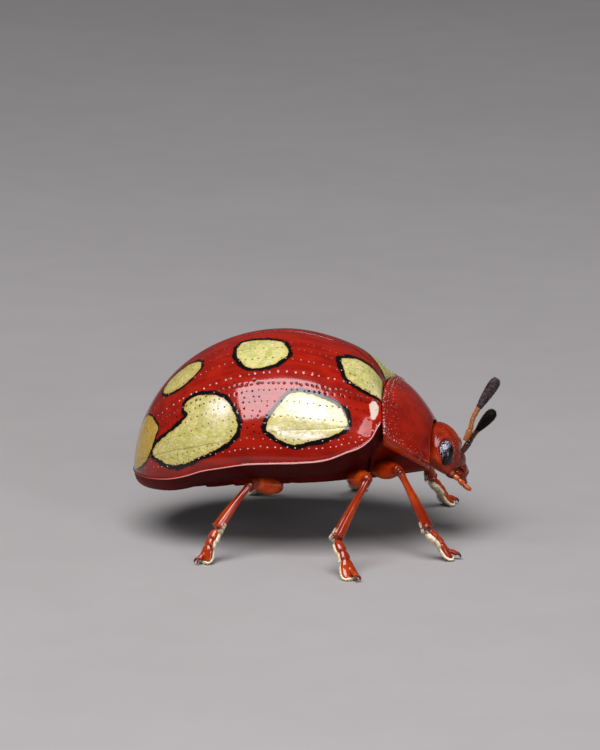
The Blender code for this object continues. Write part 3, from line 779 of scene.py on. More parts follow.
HEAD_PITS = 420
EYE_SHARE = 0.985  # of the CAD eye's size
SOCKET_MM = 0.27  # about one radius of an eye


def icosphere(subdivisions):
    """Unit points and triangles of an even ball."""
    bm = bmesh.new()
    bmesh.ops.create_icosphere(bm, subdivisions=subdivisions, radius=1.0)
    bm.verts.index_update()
    points = np.array([v.co[:] for v in bm.verts])
    triangles = np.array([[v.index for v in f.verts] for f in bm.faces])
    bm.free()
    return points, triangles


def point_normals(points, triangles):
    a, b, c = (points[triangles[:, k]] for k in range(3))
    across = np.cross(b - a, c - a)
    total = np.zeros_like(points)
    for k in range(3):
        np.add.at(total, triangles[:, k], across)
    return unit(total)


def eye_axes(side):
    """The eye's own axes as rows: forward, outward, and along its length."""
    outward = unit(sided(EYE_FACES, side))
    along = np.array(EYE_LEANS)
    along = unit(along - outward * (along @ outward))
    return np.stack([np.cross(outward, along) * side, outward, along])


def eye_rear(height):
    """The length of the eye's rear half at a height from -1 to 1, as a share of its front half."""
    return lerp(*EYE_REAR, smooth_step(-0.7, 0.35, height))


def eye_gap(points, side):
    """How far outside an eye's surface the points are, in its radii."""
    local = (points - sided(EYE_MIDDLE, side)) @ eye_axes(side).T / EYE_RADII
    local[:, 0] = np.where(local[:, 0] < 0, local[:, 0] / eye_rear(local[:, 2]), local[:, 0])
    return np.linalg.norm(local, axis=1) - 1


def add_head(looks):
    ball, triangles = icosphere(7)
    below = np.maximum(-ball[:, 2], 0.0)
    neck = 1 - NECK_NARROWS * np.maximum(0.15 - ball[:, 0], 0.0)
    narrow = neck * (1 - MOUTH_NARROWS * below**1.5)
    shaped = xyz(ball[:, 0] + MOUTH_AHEAD * below, ball[:, 1] * narrow, ball[:, 2] * neck)
    points = HEAD_MIDDLE + HEAD_RADII * shaped
    x, y, z = points.T
    aside = np.abs(y)
    face = smooth_step(1.9, 2.2, x)
    clypeus = 2.58 + 0.22 * aside / 0.5  # the groove across the face, between the feelers
    push = (
        swell(z, clypeus, 0.03, -0.030) * face * smooth_step(0.62, 0.45, aside)
        + swell(z, clypeus - 0.16, 0.12, 0.03) * swell(y, 0.0, 0.32) * face
        + swell(y, 0.0, 0.03, -0.014) * smooth_step(2.75, 2.95, z)
        + swell(z, 2.20, 0.05, -0.05) * smooth_step(1.9, 2.1, x) * smooth_step(0.6, 0.4, aside))
    for word, side in SIDES:
        gap = eye_gap(points, side) * SOCKET_MM
        push += swell(gap, 0.06, 0.04, 0.030) + swell(gap, 0.0, 0.03, -0.04)
        gap = np.linalg.norm(points - FEELERS[word][0], axis=1)
        push += swell(gap, 0.21, 0.045, 0.05) + swell(gap, 0.0, 0.13, -0.09)
    rng = np.random.default_rng(3)
    wanted = rng.choice(np.flatnonzero(x > 1.40), HEAD_PITS, replace=False)
    coarse = face[wanted] * smooth_step(2.9, 2.6, z[wanted])
    # the pale bottoms of these pits are a painted highlight
    radii, painted_glints = 0.018 + 0.014 * coarse, rng.uniform(0.0, 0.45, HEAD_PITS)
    pits = nearest_pits(points, points[wanted], radii, dent=0.6 + 0.4 * coarse, deep=radii, glint=painted_glints)
    push += pit_push(pits, PIT_DEPTH * pits["deep"])
    front = smooth_step(2.12, 2.34, x) * smooth_step(2.95, 2.70, z)
    # painted light: a brighter orange on the cheeks behind the eyes
    cheek = smooth_step(2.14, 1.96, x) * smooth_step(3.05, 2.65, z) * smooth_step(0.35, 0.60, aside)
    shape = Shape()
    surface = points + point_normals(points, triangles) * push[:, None]
    shape.add(surface, triangles=triangles, seam=0.7 * front, fold=0.75 * cheek, **pits)
    shape.piece("head_capsule", looks["head_red"], "cuticle_red", "head")

    ball, triangles = icosphere(6)
    x, y, z = ball.T
    local = xyz(np.where(x < 0, x * eye_rear(z), x), y, z)
    # where the painted reflection of the light lies on each eye: high at the rear
    bloom = smooth_step(-0.10, 0.55, 0.72 * z - 0.66 * x) * smooth_step(1.05, 0.80, z)
    for word, side in SIDES:
        turned = local * EYE_RADII * EYE_SHARE @ eye_axes(side)
        shape = Shape()
        shape.add(sided(EYE_MIDDLE, side) + turned, triangles=triangles, bloom=bloom)
        shape.piece("eye_ball_" + word, looks["eye_facets"], "eye_black", "eye_" + word)


def sweep(path, wide, high, sides, outline=None):
    """Rings round a path; wide and high are half sizes at its points, and outline scales each direction."""
    ahead = unit(np.gradient(path, axis=0))
    side = unit(np.cross(ahead, UP))
    top = np.cross(side, ahead)
    turn = turns(sides)
    scale = outline(turn) if outline else 1.0
    wide, high = (v[:, None, None] for v in (wide, high))
    return (path[:, None] + side[:, None] * wide * (np.cos(turn) * scale)[:, None]
            + top[:, None] * high * (np.sin(turn) * scale)[:, None])


def rounded_ends(share, power):
    """1 along a joint, falling to nearly 0 at both ends."""
    return np.maximum(1 - np.abs(2 * share - 1)**power, 0.0)**0.5 * 0.97 + 0.03


def tapered(path, wide, high, sides, power=10):
    """Rings round a path with rounded ends; wide and high are half sizes at even shares of it."""
    share = np.linspace(0.0, 1.0, len(path))
    ends = rounded_ends(share, power)
    wide, high = (np.interp(share, np.linspace(0.0, 1.0, len(v)), v) * ends for v in (wide, high))
    return sweep(path, wide, high, sides)


def plant(rings, path, rows, columns, chosen=None):
    """Where hairs stand on the rings round a path, if chosen: rows, columns, roots and the ways out."""
    roots = rings[rows, columns]
    away = unit(roots - path[rows])
    kept = chosen(away) if chosen else np.full(len(rows), True)
    return rows[kept], columns[kept], roots[kept], away[kept]


# Feeler joints: length, radius at the foot and at the end; the last six make the club.
FEELER_JOINTS = (
    (0.17, 0.080, 0.100), (0.075, 0.070, 0.080), (0.12, 0.060, 0.078), (0.085, 0.062, 0.080),
    (0.085, 0.066, 0.086), (0.080, 0.078, 0.108), (0.085, 0.104, 0.136), (0.080, 0.126, 0.154),
    (0.080, 0.144, 0.166), (0.080, 0.156, 0.172), (0.125, 0.164, 0.160),
)
CLUB_FIRST, FEELER_SIDES = 5, 32
STEM_HAIRS, CLUB_HAIRS, DOWN_RADIUS = 26, 260, 0.0032
FEELER_LOOKS = {  # of the stem, the club and the down
    # the left feeler is the far one; its lighter looks are painted light, lit copies of the right one's dark
    # looks
    "left": ("feeler_amber", "club_grey", "club_down_grey"),
    "right": ("feeler_brown", "club_velvet", "club_down"),
}


def add_feelers(looks):
    rng = np.random.default_rng(17)
    total = sum(joint[0] for joint in FEELER_JOINTS)
    for word, keys in FEELERS.items():
        path = curve(keys, 200)
        ahead = unit(path[-1] - path[-40])
        stem, club, down = Shape(), Shape(), Shape()
        start = 0.0
        for k, (length, foot, end) in enumerate(FEELER_JOINTS):
            share = eased(21)
            reach = length / total
            places = along_path(path, np.clip(start + lerp(-0.10, 1.10, share) * reach, 0.0, 1.0))
            radius = lerp(foot, end, share**0.8) * rounded_ends(share, 10)
            if k == len(FEELER_JOINTS) - 1:
                radius = radius * np.sqrt(np.maximum(1 - (np.maximum(share - 0.30, 0.0) / 0.71)**2, 0.0))
            rings = sweep(places, radius, radius, FEELER_SIDES)
            (club if k >= CLUB_FIRST else stem).tube(rings)
            count = CLUB_HAIRS if k >= CLUB_FIRST else STEM_HAIRS
            rows, columns, roots, away = plant(
                rings, places, rng.integers(3, 18, count), rng.integers(0, FEELER_SIDES, count))
            tips = roots + (away * 0.45 + ahead) * rng.uniform(0.025, 0.05, (count, 1))
            at = np.stack([columns / FEELER_SIDES, start + reach * share[rows]], axis=1)
            down.hairs(roots - away * 0.01, tips, DOWN_RADIUS, at)
            start += reach
        stem_look, club_look, down_look = (looks[name] for name in FEELER_LOOKS[word])
        stem.piece("feeler_stem_" + word, stem_look, "leg_orange", "antenna_stem_" + word)
        club.piece("feeler_club_" + word, club_look, "club_black", "antenna_club_" + word)
        down.piece("feeler_down_" + word, down_look, "club_black")


# Solids of the mouth: keys along each one, half widths and half heights at even shares, and points round it.
UPPER_LIP = (
    ((2.16, 0.0, 2.30), (2.34, 0.0, 2.22), (2.44, 0.0, 2.06), (2.43, 0.0, 1.94)),
    (0.36, 0.35, 0.30, 0.22), (0.06, 0.07, 0.06, 0.03), 32)
LOWER_LIP = (
    ((1.86, 0.0, 1.98), (2.02, 0.0, 1.90), (2.20, 0.0, 1.86), (2.30, 0.0, 1.84)),
    (0.26, 0.27, 0.20, 0.12), (0.08, 0.08, 0.06, 0.04), 28)
PALP_CHEEK = (
    ((1.92, 0.40, 2.22), (2.04, 0.40, 2.10), (2.16, 0.42, 2.02)), (0.14, 0.15, 0.10), (0.13, 0.14, 0.10), 24)
LIP_PALP = (
    ((2.22, 0.13, 1.84), (2.32, 0.17, 1.76), (2.40, 0.18, 1.68), (2.46, 0.16, 1.62)),
    (0.045, 0.05, 0.055, 0.04), (0.045, 0.05, 0.055, 0.04), 14)
JAW = (
    ((2.14, 0.40, 2.12), (2.30, 0.38, 2.04), (2.42, 0.24, 1.96), (2.45, 0.04, 1.90)),
    (0.10, 0.11, 0.09, 0.03), (0.10, 0.10, 0.08, 0.03), 20)
# Palp joints: share of the length, radius at the foot and at the end.
PALP_JOINTS = ((0.15, 0.085, 0.095), (0.25, 0.060, 0.090), (0.25, 0.064, 0.096), (0.33, 0.088, 0.060))
PALP_SIDES = 26


def add_mouth(looks):
    lips, jaws = Shape(), Shape()
    for shape, parts, ways in (
            (lips, (UPPER_LIP, LOWER_LIP), SIDES[:1]),  # on the middle line
            (lips, (PALP_CHEEK, LIP_PALP), SIDES),
            (jaws, (JAW,), SIDES)):
        for _, side in ways:
            for keys, wide, high, sides in parts:
                shape.tube(tapered(curve(sided(keys, side), 24), wide, high, sides))
    lips.piece("mouth_lips", looks["mouth_dark"], "cuticle_red", "mouthparts")
    jaws.piece("mouth_jaws", looks["claw_dark"], "cuticle_red")
    share = eased(17)
    knee = np.repeat(smooth_step(0.35, 0.05, share)[:, None], PALP_SIDES, axis=1)
    for word, _ in SIDES:
        path = curve(PALPS[word], 120)
        shape = Shape()
        start = 0.02
        for length, foot, end in PALP_JOINTS:
            radius = lerp(foot, end, share) * rounded_ends(share, 4)
            places = along_path(path, np.clip(start + lerp(-0.06, 1.06, share) * length, 0.0, 1.0))
            shape.tube(sweep(places, radius, radius, PALP_SIDES), knee=knee)
            start += length
        shape.piece("mouth_palp_" + word, looks["palp_amber"], "leg_orange", "palp_" + word)


# ---------------------------------------- legs

# Radii at shares of the length.
THIGH_SHARES = (0, 0.03, 0.08, 0.115, 0.135, 0.155, 0.2, 0.3, 0.4, 0.52, 0.65, 0.78, 0.88, 0.95, 0.985, 1)
THIGH_RADII = (
    0.05, 0.19, 0.24, 0.243, 0.232, 0.24, 0.265, 0.298, 0.306, 0.297, 0.268, 0.22, 0.172, 0.138, 0.115, 0.03)
SHIN_SHARES = (0.0, 0.03, 0.07, 0.12, 0.18, 0.5, 0.8, 0.93, 0.985, 1.0)
SHIN_RADII = (0.03, 0.112, 0.128, 0.112, 0.105, 0.135, 0.168, 0.175, 0.160, 0.06)
THIGH_SIDES, SHIN_SIDES, FOOT_SIDES, SHANK_SIDES, CLAW_SIDES = 44, 40, 28, 24, 14
# Joints of a foot: from and to along it, how many rings, half widths and half heights at even shares, how far
# down and how thick the cushion under it is, and for the two lobes of the third joint, which way they spread.
LOBE = 0.42, 0.84, 26, (0.09, 0.145, 0.155, 0.125), (0.08, 0.10, 0.085, 0.06), 0.065, 0.055
FOOT_JOINTS = (
    (0.02, 0.29, 22, (0.10, 0.145, 0.165), (0.09, 0.11, 0.115), 0.10, 0.10, 0.0),
    (0.26, 0.47, 20, (0.10, 0.145, 0.175), (0.085, 0.10, 0.105), 0.09, 0.085, 0.0),
    (*LOBE, 1.0), (*LOBE, -1.0),
)
LOBE_SPREAD, LOBE_SINKS, LOBE_LOWEST = 0.145, 0.05, 0.125
SHANK_RISE = (0.0, 0.35, 0.7, 1.0), (-0.02, 0.09, 0.08, -0.04)
# A claw's keys: ahead, aside and up from its root, and its half sizes at even shares.
CLAW_KEYS = np.array([(0.0, 0.0, 0.0), (0.05, 0.045, 0.005), (0.105, 0.07, -0.05), (0.110, 0.075, -0.125)])
CLAW_WIDE, CLAW_HIGH = (0.045, 0.040, 0.028, 0.008), (0.045, 0.042, 0.030, 0.008)
TUFT_SIDE = {"front": (-1.0, 0.0, -0.25), "mid": (-1.0, 0.0, -0.25), "hind": (1.0, 0.0, -0.6)}
SHIN_HAIRS, SOLE_HAIRS, PALE_HAIR = 1100, 420, 0.006  # how many, and their radius


def shin_outline(turn):
    """A shin's section: ridged, with a channel along its outer face."""
    away = np.abs((turn - np.pi / 2 + np.pi) % (2 * np.pi) - np.pi)
    return 1 + swell(away, 0.0, 0.30, -0.22) + swell(away, 0.62, 0.25, 0.05)


def darker(knee, sides):
    """How dark each point of a thigh or shin is: dark where knee says so, painted shade on its top and
    underside, and palest on its flanks.
    """
    return np.maximum(knee[:, None], 0.45 * np.abs(np.sin(turns(sides)))**3)


def add_thigh(word, hip, knee, ankle, looks):
    share = spans((0.0, 0.26, 44), (0.27, 0.88, 44), (0.885, 1.0, 24))
    radius = smooth_interp(share, THIGH_SHARES, THIGH_RADII)
    path = lerp(hip, knee, share[:, None])
    rings = sweep(path, radius, radius * 0.94, THIGH_SIDES)
    # the underside of the end opens into a groove that takes the shin
    away = unit(rings - path[:, None])
    groove = swell(away @ unit(ankle - knee), 1.0, 0.25, 0.05) * smooth_step(0.86, 0.97, share)[:, None]
    # dark at the knee end, and painted shade at the hip end, where the thigh goes under the body
    ends = np.maximum(smooth_step(0.80, 0.96, share), 0.7 * smooth_step(0.24, 0.06, share))
    shape = Shape()
    shape.tube(rings - away * groove[..., None], knee=darker(ends, THIGH_SIDES))
    shape.piece("thigh_" + word, looks["thigh_orange"], "leg_orange", "femur_" + word)


def add_shin(word, knee, ankle, looks):
    share = spans((0.0, 0.2, 26), (0.22, 0.9, 40), (0.91, 1.0, 16))
    ahead = unit(ankle - knee)
    bow = np.cross(ahead, np.cross(UP, ahead)) * 0.035
    path = lerp(knee, ankle, share[:, None]) + bow * np.sin(np.pi * share)[:, None]
    radius = smooth_interp(share, SHIN_SHARES, SHIN_RADII)
    rings = sweep(path, radius, radius * 0.92, SHIN_SIDES, shin_outline)
    ends = smooth_step(0.17, 0.03, share) + 0.5 * smooth_step(0.90, 0.99, share)
    shin, hair = Shape(), Shape()
    shin.tube(rings, knee=darker(ends, SHIN_SIDES))
    shin.piece("shin_" + word, looks["leg_orange"], "leg_orange", "tibia_" + word)
    # pale hair along its inner side, denser towards the foot
    rng = np.random.default_rng(23)
    inner = unit(np.cross(np.cross(ahead, TUFT_SIDE[word.split("_")[0]]), ahead))
    stop = 1 - 0.17 * rng.uniform(0.05, 1.0, SHIN_HAIRS)**1.3
    rows = np.clip(np.searchsorted(share, stop), 0, len(share) - 1)
    rows, columns, roots, away = plant(
        rings, path, rows, rng.integers(0, SHIN_SIDES, SHIN_HAIRS),
        lambda away: away @ inner > rng.uniform(0.35, 0.95, SHIN_HAIRS))
    tips = roots + (ahead + away * 0.35) * rng.uniform(0.06, 0.13, (len(rows), 1))
    hair.hairs(roots - away * 0.01, tips, PALE_HAIR, np.stack([columns / SHIN_SIDES, share[rows]], axis=1))
    hair.piece("shin_hair_" + word, looks["pale_hair"], "leg_orange")


def add_foot(word, ankle, claws, looks):
    """Three joints, the third two-lobed and flat on the floor, then the claw joint and its two claws."""
    ahead = unit((claws - ankle) * (1.0, 1.0, 0.0))
    side = np.cross(ahead, UP)
    bend = lerp(ankle, claws, 0.36) - UP * 0.06
    pad = lerp(ankle, claws, 0.66)
    pad[2] = claws[2]
    line = curve((ankle, bend, pad, claws), 200)
    toe, sole, hair, hooks = Shape(), Shape(), Shape(), Shape()
    rng = np.random.default_rng(31)

    for number, (first, last, count, wide, high, drop, thick, hand) in enumerate(FOOT_JOINTS):
        share = np.linspace(0.0, 1.0, count)
        places = along_path(line, np.linspace(first, last, count))
        if hand:
            places += side * (hand * LOBE_SPREAD * share**0.75)[:, None]
            places[:, 2] = np.maximum(places[:, 2] - LOBE_SINKS * share, LOBE_LOWEST)
        toe.tube(tapered(places, wide, high, FOOT_SIDES, 7))
        # the pale cushion of hair under it, a little wider than the joint
        way = unit(np.gradient(places, axis=0))
        under = -np.cross(unit(np.cross(way, UP)), way)
        lower = places + under * (drop * rounded_ends(share, 7))[:, None]
        lower[:, 2] = np.maximum(lower[:, 2], 0.06)
        cushion = tapered(lower + way * 0.02, np.multiply(wide, 1.10), (thick,), FOOT_SIDES, 7)
        cushion[..., 2] = np.maximum(cushion[..., 2], 0.004)
        sole.tube(cushion)
        rows, columns = rng.integers(2, count - 1, SOLE_HAIRS), rng.integers(0, FOOT_SIDES, SOLE_HAIRS)
        rows, columns, roots, away = plant(cushion, lower, rows, columns, lambda away: away[:, 2] < 0.3)
        leaning = away + way[rows] * 0.6 + under[rows] * 0.4
        tips = roots + leaning * rng.uniform(0.02, 0.045, (len(rows), 1))
        roots[:, 2], tips[:, 2] = np.maximum(roots[:, 2], 0.01), np.maximum(tips[:, 2], 0.004)
        at = np.stack([columns / FOOT_SIDES, (number + share[rows]) / len(FOOT_JOINTS)], axis=1)
        hair.hairs(roots, tips, PALE_HAIR, at)
    shank = along_path(line, np.linspace(0.56, 0.97, 30))
    shank[:, 2] += np.interp(np.linspace(0.0, 1.0, 30), *SHANK_RISE)
    toe.tube(tapered(shank, (0.055, 0.088), (0.050, 0.078), SHANK_SIDES, 9))
    for _, hand in SIDES:
        keys = shank[-3] + CLAW_KEYS @ np.stack([ahead, side * hand, UP])
        hooks.tube(tapered(curve(keys, 18), CLAW_WIDE, CLAW_HIGH, CLAW_SIDES))
    toe.piece("foot_" + word, looks["leg_orange"], "leg_orange", "tarsus_" + word)
    sole.piece("sole_" + word, looks["pale_hair"], "leg_orange")
    hair.piece("foot_hair_" + word, looks["pale_hair"], "leg_orange")
    hooks.piece("claws_" + word, looks["claw_dark"], "leg_orange")


# ---------------------------------------- materials

PIT_SUNK = 0.70  # how deep the relief makes a pit, as a share of its radius
GAP_LESS = 0.8  # how much shorter than true the plain distance from a pit is taken


class Field:
    """A value or colour that varies over a surface: one output of a node. Sums and ramps make more."""

    def __init__(self, look, socket):
        self.look, self.socket = look, socket

    def math(self, operation, other, clamp=False):
        inputs = {0: self, 1: other}
        return self.look.output("ShaderNodeMath", 0, inputs, operation=operation, use_clamp=clamp)

    def __add__(self, other):
        return self.math("ADD", other)

    def __sub__(self, other):
        return self.math("SUBTRACT", other)

    def __mul__(self, other):
        return self.math("MULTIPLY", other)

    def ramp(self, low, high, start=0.0, end=1.0):
        """start below low, end above high, smooth between them; low may be the larger one."""
        if low > high:
            low, high, start, end = high, low, end, start
        inputs = {"Value": self, "From Min": low, "From Max": high, "To Min": start, "To Max": end}
        return self.look.output("ShaderNodeMapRange", "Result", inputs, interpolation_type="SMOOTHSTEP")


class Looks:
    """A node material built from fields; every size in it is in millimetres."""

    def __init__(self, name, **settings):
        self.material = bpy.data.materials.new(name)
        self.material.use_nodes = True
        self.tree = self.material.node_tree
        self.shader = self.tree.nodes["Principled BSDF"]
        for socket, value in settings.items():
            self.shader.inputs[socket.replace("_", " ")].default_value = value
        self.place = self.stretch(1.0, 1.0, 1.0)

    def output(self, kind, output, inputs, **settings):
        """One output of a new node."""
        made = self.tree.nodes.new(kind)
        for name, value in settings.items():
            setattr(made, name, value)
        for socket, value in inputs.items():
            self.feed(made.inputs[socket], value)
        return Field(self, made.outputs[output])

    def feed(self, socket, value):
        """Links a field to a socket, or sets the socket to a number, a vector or a colour."""
        if isinstance(value, Field):
            self.tree.links.new(value.socket, socket)
        else:
            socket.default_value = (*value, 1.0) if socket.type == "RGBA" else value

    def stretch(self, *scale):
        """The place in millimetres, stretched along the axes."""
        place = self.output("ShaderNodeTexCoord", "Object", {})
        scale = tuple(v / MM for v in scale)
        return self.output("ShaderNodeMapping", "Vector", {"Vector": place, "Scale": scale})

    def value(self, name, output="Fac"):
        """What a piece says at each point under this name."""
        return self.output("ShaderNodeAttribute", output, {}, attribute_name=name)

    def noise(self, scale, detail=3.0, place=None, distortion=0.0):
        inputs = {"Vector": place or self.place, "Scale": scale, "Detail": detail, "Distortion": distortion}
        return self.output("ShaderNodeTexNoise", "Fac", inputs)

    def cells(self, scale, feature="F1", place=None):
        inputs = {"Vector": place or self.place, "Scale": scale}
        return self.output("ShaderNodeTexVoronoi", "Distance", inputs, feature=feature)

    def layers(self, colour, *coats):
        """The colour under coats of others, each with its share."""
        for share, tint in coats:
            colour = self.output("ShaderNodeMix", 2, {0: share, 6: colour, 7: tint}, data_type="RGBA")
        return colour

    def wave(self, scale, detail, size):
        """Noise around zero, of about this size."""
        return (self.noise(scale, detail) - 0.5) * size

    def from_pit(self):
        """The distance from the nearest pit's middle, in its radii. The vector is exact near the middle, and
        the plain distance keeps it from passing through zero half way between two pits."""
        pit = self.value("pit", "Vector")
        exact = self.output("ShaderNodeVectorMath", "Value", {0: pit}, operation="LENGTH")
        return exact.math("MAXIMUM", self.value("pit_gap") - GAP_LESS)

    def painted_glint_spots(self, pit):
        """Where the pale bottoms of the pits are: a painted highlight."""
        return pit.ramp(0.70, 0.38) * self.value("glint")

    def sunk(self, pit):
        """The relief of the pits."""
        return pit.ramp(1.0, 0.0) * self.value("deep") * -PIT_SUNK

    def finish(self, colour, roughness, height):
        """Links what varies: colour, roughness, and the height of the relief in millimetres."""
        normal = self.output("ShaderNodeBump", "Normal", {"Distance": MM, "Height": height})
        for socket, value in (("Base Color", colour), ("Roughness", roughness), ("Normal", normal)):
            self.feed(self.shader.inputs[socket], value)
        return self.material


RED, BRIGHT_RED, DARK_RED = (0.205, 0.0044, 0.0012), (0.285, 0.0090, 0.0020), (0.095, 0.0030, 0.0012)
MAROON, BLACK = (0.024, 0.0016, 0.0012), (0.0028, 0.0017, 0.0017)
LIME, GREEN, CREAM = (0.49, 0.480, 0.175), (0.35, 0.39, 0.11), (0.76, 0.72, 0.62)
OCHRE, RUST, BONE = (0.40, 0.25, 0.030), (0.12, 0.060, 0.010), (0.50, 0.41, 0.33)
PAINTED_RIDGE_HIGHLIGHT, PAINTED_GLINT = (0.70, 0.36, 0.33), (0.82, 0.50, 0.47)
RING_WIDTH = 0.125


def shell_material():
    """Red, with black-ringed lime and ochre spots, and rows of pits."""
    look = Looks("shell_gloss", Coat_Roughness=0.085, IOR=1.50, Specular_IOR_Level=0.04)
    noise, value = look.noise, look.value
    ring, dent, along, round_it = (value(name) for name in ("ring", "dent", "along", "round_it"))
    ragged = value("edge") + look.wave(5.0, 4.0, 0.13) + look.wave(22.0, 3.0, 0.05)
    inside = ragged.ramp(-0.004, 0.026)
    reach = (ring + look.wave(2.6, 3.0, 1.1) + look.wave(13.0, 2.0, 0.5)) * -RING_WIDTH
    ringed = (ragged - reach).ramp(-0.035, 0.020) * ring.ramp(0.0, 0.3)
    pit = look.from_pit()
    hole = pit.ramp(0.85, 0.40) * dent
    under = round_it.ramp(1.0, 1.04)  # the band under the ridge
    red = look.layers(
        RED,
        (noise(1.0, 4.0, look.stretch(0.8, 5.0, 5.0)).ramp(0.36, 0.66), BRIGHT_RED),  # streaks
        (noise(1.4, 4.0).ramp(0.48, 0.72) * 0.35, DARK_RED),
        # painted shade: dark red on the lower dome towards the ridge, dark maroon under the ridge (less
        # towards the apex), and dark red towards the rear
        (round_it.ramp(0.86, 0.98) * 0.35, DARK_RED),
        (round_it.ramp(1.0, 1.2) * along.ramp(0.45, 0.85, 0.85, 0.20), MAROON),
        (along.ramp(0.55, 0.90) * 0.50, DARK_RED),
        # dark maroon in the pits: painted shade
        (hole * 0.7, MAROON),
        # a painted highlight along the ridge's raised line, fading towards the apex
        (value("ridge_gap").ramp(0.020, 0.006) * along.ramp(0.80, 0.45, 0.0, 1.0), PAINTED_RIDGE_HIGHLIGHT),
    )
    flakes = look.cells(5.0, "DISTANCE_TO_EDGE", look.stretch(0.7, 2.0, 2.0))
    patchy = noise(3.0, 8.0, distortion=0.8)
    yellow = look.layers(
        GREEN,
        (patchy.ramp(0.40, 0.58), LIME),
        (noise(11.0, 5.0).ramp(0.50, 0.64) * 0.35, CREAM),
        (value("tone") * patchy.ramp(0.75, 0.35, 0.65, 1.0), OCHRE),
        # pale flakes, with a painted highlight over the front side spot
        (value("pale").math("MULTIPLY", noise(7.0, 6.0).ramp(0.34, 0.50), clamp=True), CREAM),
        (ragged.ramp(0.15, 0.02) * 0.40, OCHRE),  # near the edge
        (flakes.ramp(0.040, 0.0) * 0.40, OCHRE),
        (value("crease").ramp(0.030, 0.006) * 0.5, RUST),
        # brown in the pits: painted shade
        (pit.ramp(0.75, 0.40) * (dent * 0.9), RUST),
        (ring.ramp(0.3, 0.0), BONE),
    )
    # pale pit bottoms over the red and the rings: painted highlight
    colour = look.layers(red, (ringed, BLACK), (look.painted_glint_spots(pit), PAINTED_GLINT), (inside, yellow))
    wrinkled = (flakes.ramp(0.12, 0.0) + noise(7.0, 5.0)) * inside
    relief = (
        look.sunk(pit) + noise(1.3, 2.0) * 0.012 + noise(9.0, 3.0) * 0.0030 + noise(45.0, 2.0) * 0.0008
        + wrinkled * -0.0050)
    rough = noise(5.0, 4.0).ramp(0.3, 0.7, 0.20, 0.30) + inside * 0.10 + under * 0.35
    # duller under the ridge, in the pits and at the base
    coat = under.ramp(0.0, 1.0, 0.85, 0.06) * hole.ramp(0.0, 1.0, 1.0, 0.1)
    look.feed(look.shader.inputs["Coat Weight"], coat * along.ramp(0.025, 0.065, 0.40, 1.0))
    return look.finish(colour, rough, relief)


def cuticle_material(name, dark, middle, bright, rough=(0.24, 0.34), glow=0.0, wrinkle=0.003, coat=0.5,
                     gloss=0.08, fold=None):
    """Glossy skin of one hue, with pits, and darker where the piece marks seams and knees and where painted
    shade lies;
    fold is the colour of the places it marks as folds, a painted light on parts in shade."""
    look = Looks(name, Coat_Weight=coat, Coat_Roughness=0.06, IOR=1.50, Specular_IOR_Level=gloss,
                 Subsurface_Weight=glow, Subsurface_Scale=0.12 * MM, Subsurface_Radius=(1.0, 0.25, 0.08))
    noise, value = look.noise, look.value
    pit = look.from_pit()
    coats = [
        (noise(0.9, 5.0).ramp(0.38, 0.64), bright),
        (noise(4.5, 5.0).ramp(0.50, 0.75) * 0.4, dark),
        # dark in the pits: painted shade
        (pit.ramp(0.9, 0.4) * value("dent") * 0.6, dark),
        # pale pit bottoms: painted highlight
        (look.painted_glint_spots(pit), PAINTED_GLINT),
        # dark joints, knees and seams, with painted shade on thighs and shins and at the front plate's front
        ((value("knee") + value("seam")).math("MULTIPLY", 0.8, clamp=True), dark),
    ]
    if fold:
        # painted light where the piece marks folds
        coats.append((value("fold") * 0.9, fold))
    rough = noise(6.0, 4.0).ramp(0.3, 0.7, *rough)
    relief = look.sunk(pit) + noise(1.6, 2.0) * 0.010 + noise(14.0, 4.0) * wrinkle
    return look.finish(look.layers(middle, *coats), rough, relief + noise(60.0, 2.0) * 0.0008)


def eye_material():
    """Black facets, with a painted reflection in blue-grey high at the rear."""
    look = Looks("eye_facets", Coat_Weight=0.5, Coat_Roughness=0.12, IOR=1.6, Specular_IOR_Level=0.12)
    facets = look.cells(24.0)
    colour = look.layers(
        (0.0030, 0.0030, 0.0045),
        (look.noise(3.0, 3.0).ramp(0.45, 0.8), (0.012, 0.005, 0.005)),
        # the painted reflection, blue-grey
        (look.value("bloom") * look.noise(5.0, 5.0).ramp(0.25, 0.60, 0.35, 1.0), (0.50, 0.50, 0.62)),
        (facets.ramp(0.35, 0.65), (0.0012, 0.0012, 0.0016)),
    )
    relief = facets.ramp(0.2, 0.7) * -0.0050 + look.noise(5.0, 2.0) * 0.006
    return look.finish(colour, look.noise(9.0, 3.0).ramp(0.3, 0.7, 0.26, 0.38), relief)


def fuzz_material(name, dark, pale, rough):
    """Dull, finely haired skin and hair."""
    look = Looks(name, Specular_IOR_Level=0.12, Subsurface_Weight=0.1, Subsurface_Scale=0.08 * MM)
    colour = look.layers(dark, (look.noise(11.0, 4.0).ramp(0.35, 0.68), pale))
    relief = look.noise(48.0, 3.0) * 0.008 + look.noise(9.0, 2.0) * 0.008
    return look.finish(colour, look.noise(20.0, 3.0).ramp(0.3, 0.7, rough - 0.08, rough + 0.08), relief)


def floor_material():
    look = Looks("studio_floor")
    cloudy = look.noise(0.08, 4.0).ramp(0.3, 0.7)
    colour = look.layers((0.280, 0.277, 0.270), (cloudy, (0.290, 0.287, 0.280)))
    return look.finish(colour, look.noise(0.5, 3.0).ramp(0.3, 0.7, 0.70, 0.80), look.noise(3.0, 3.0) * 0.004)


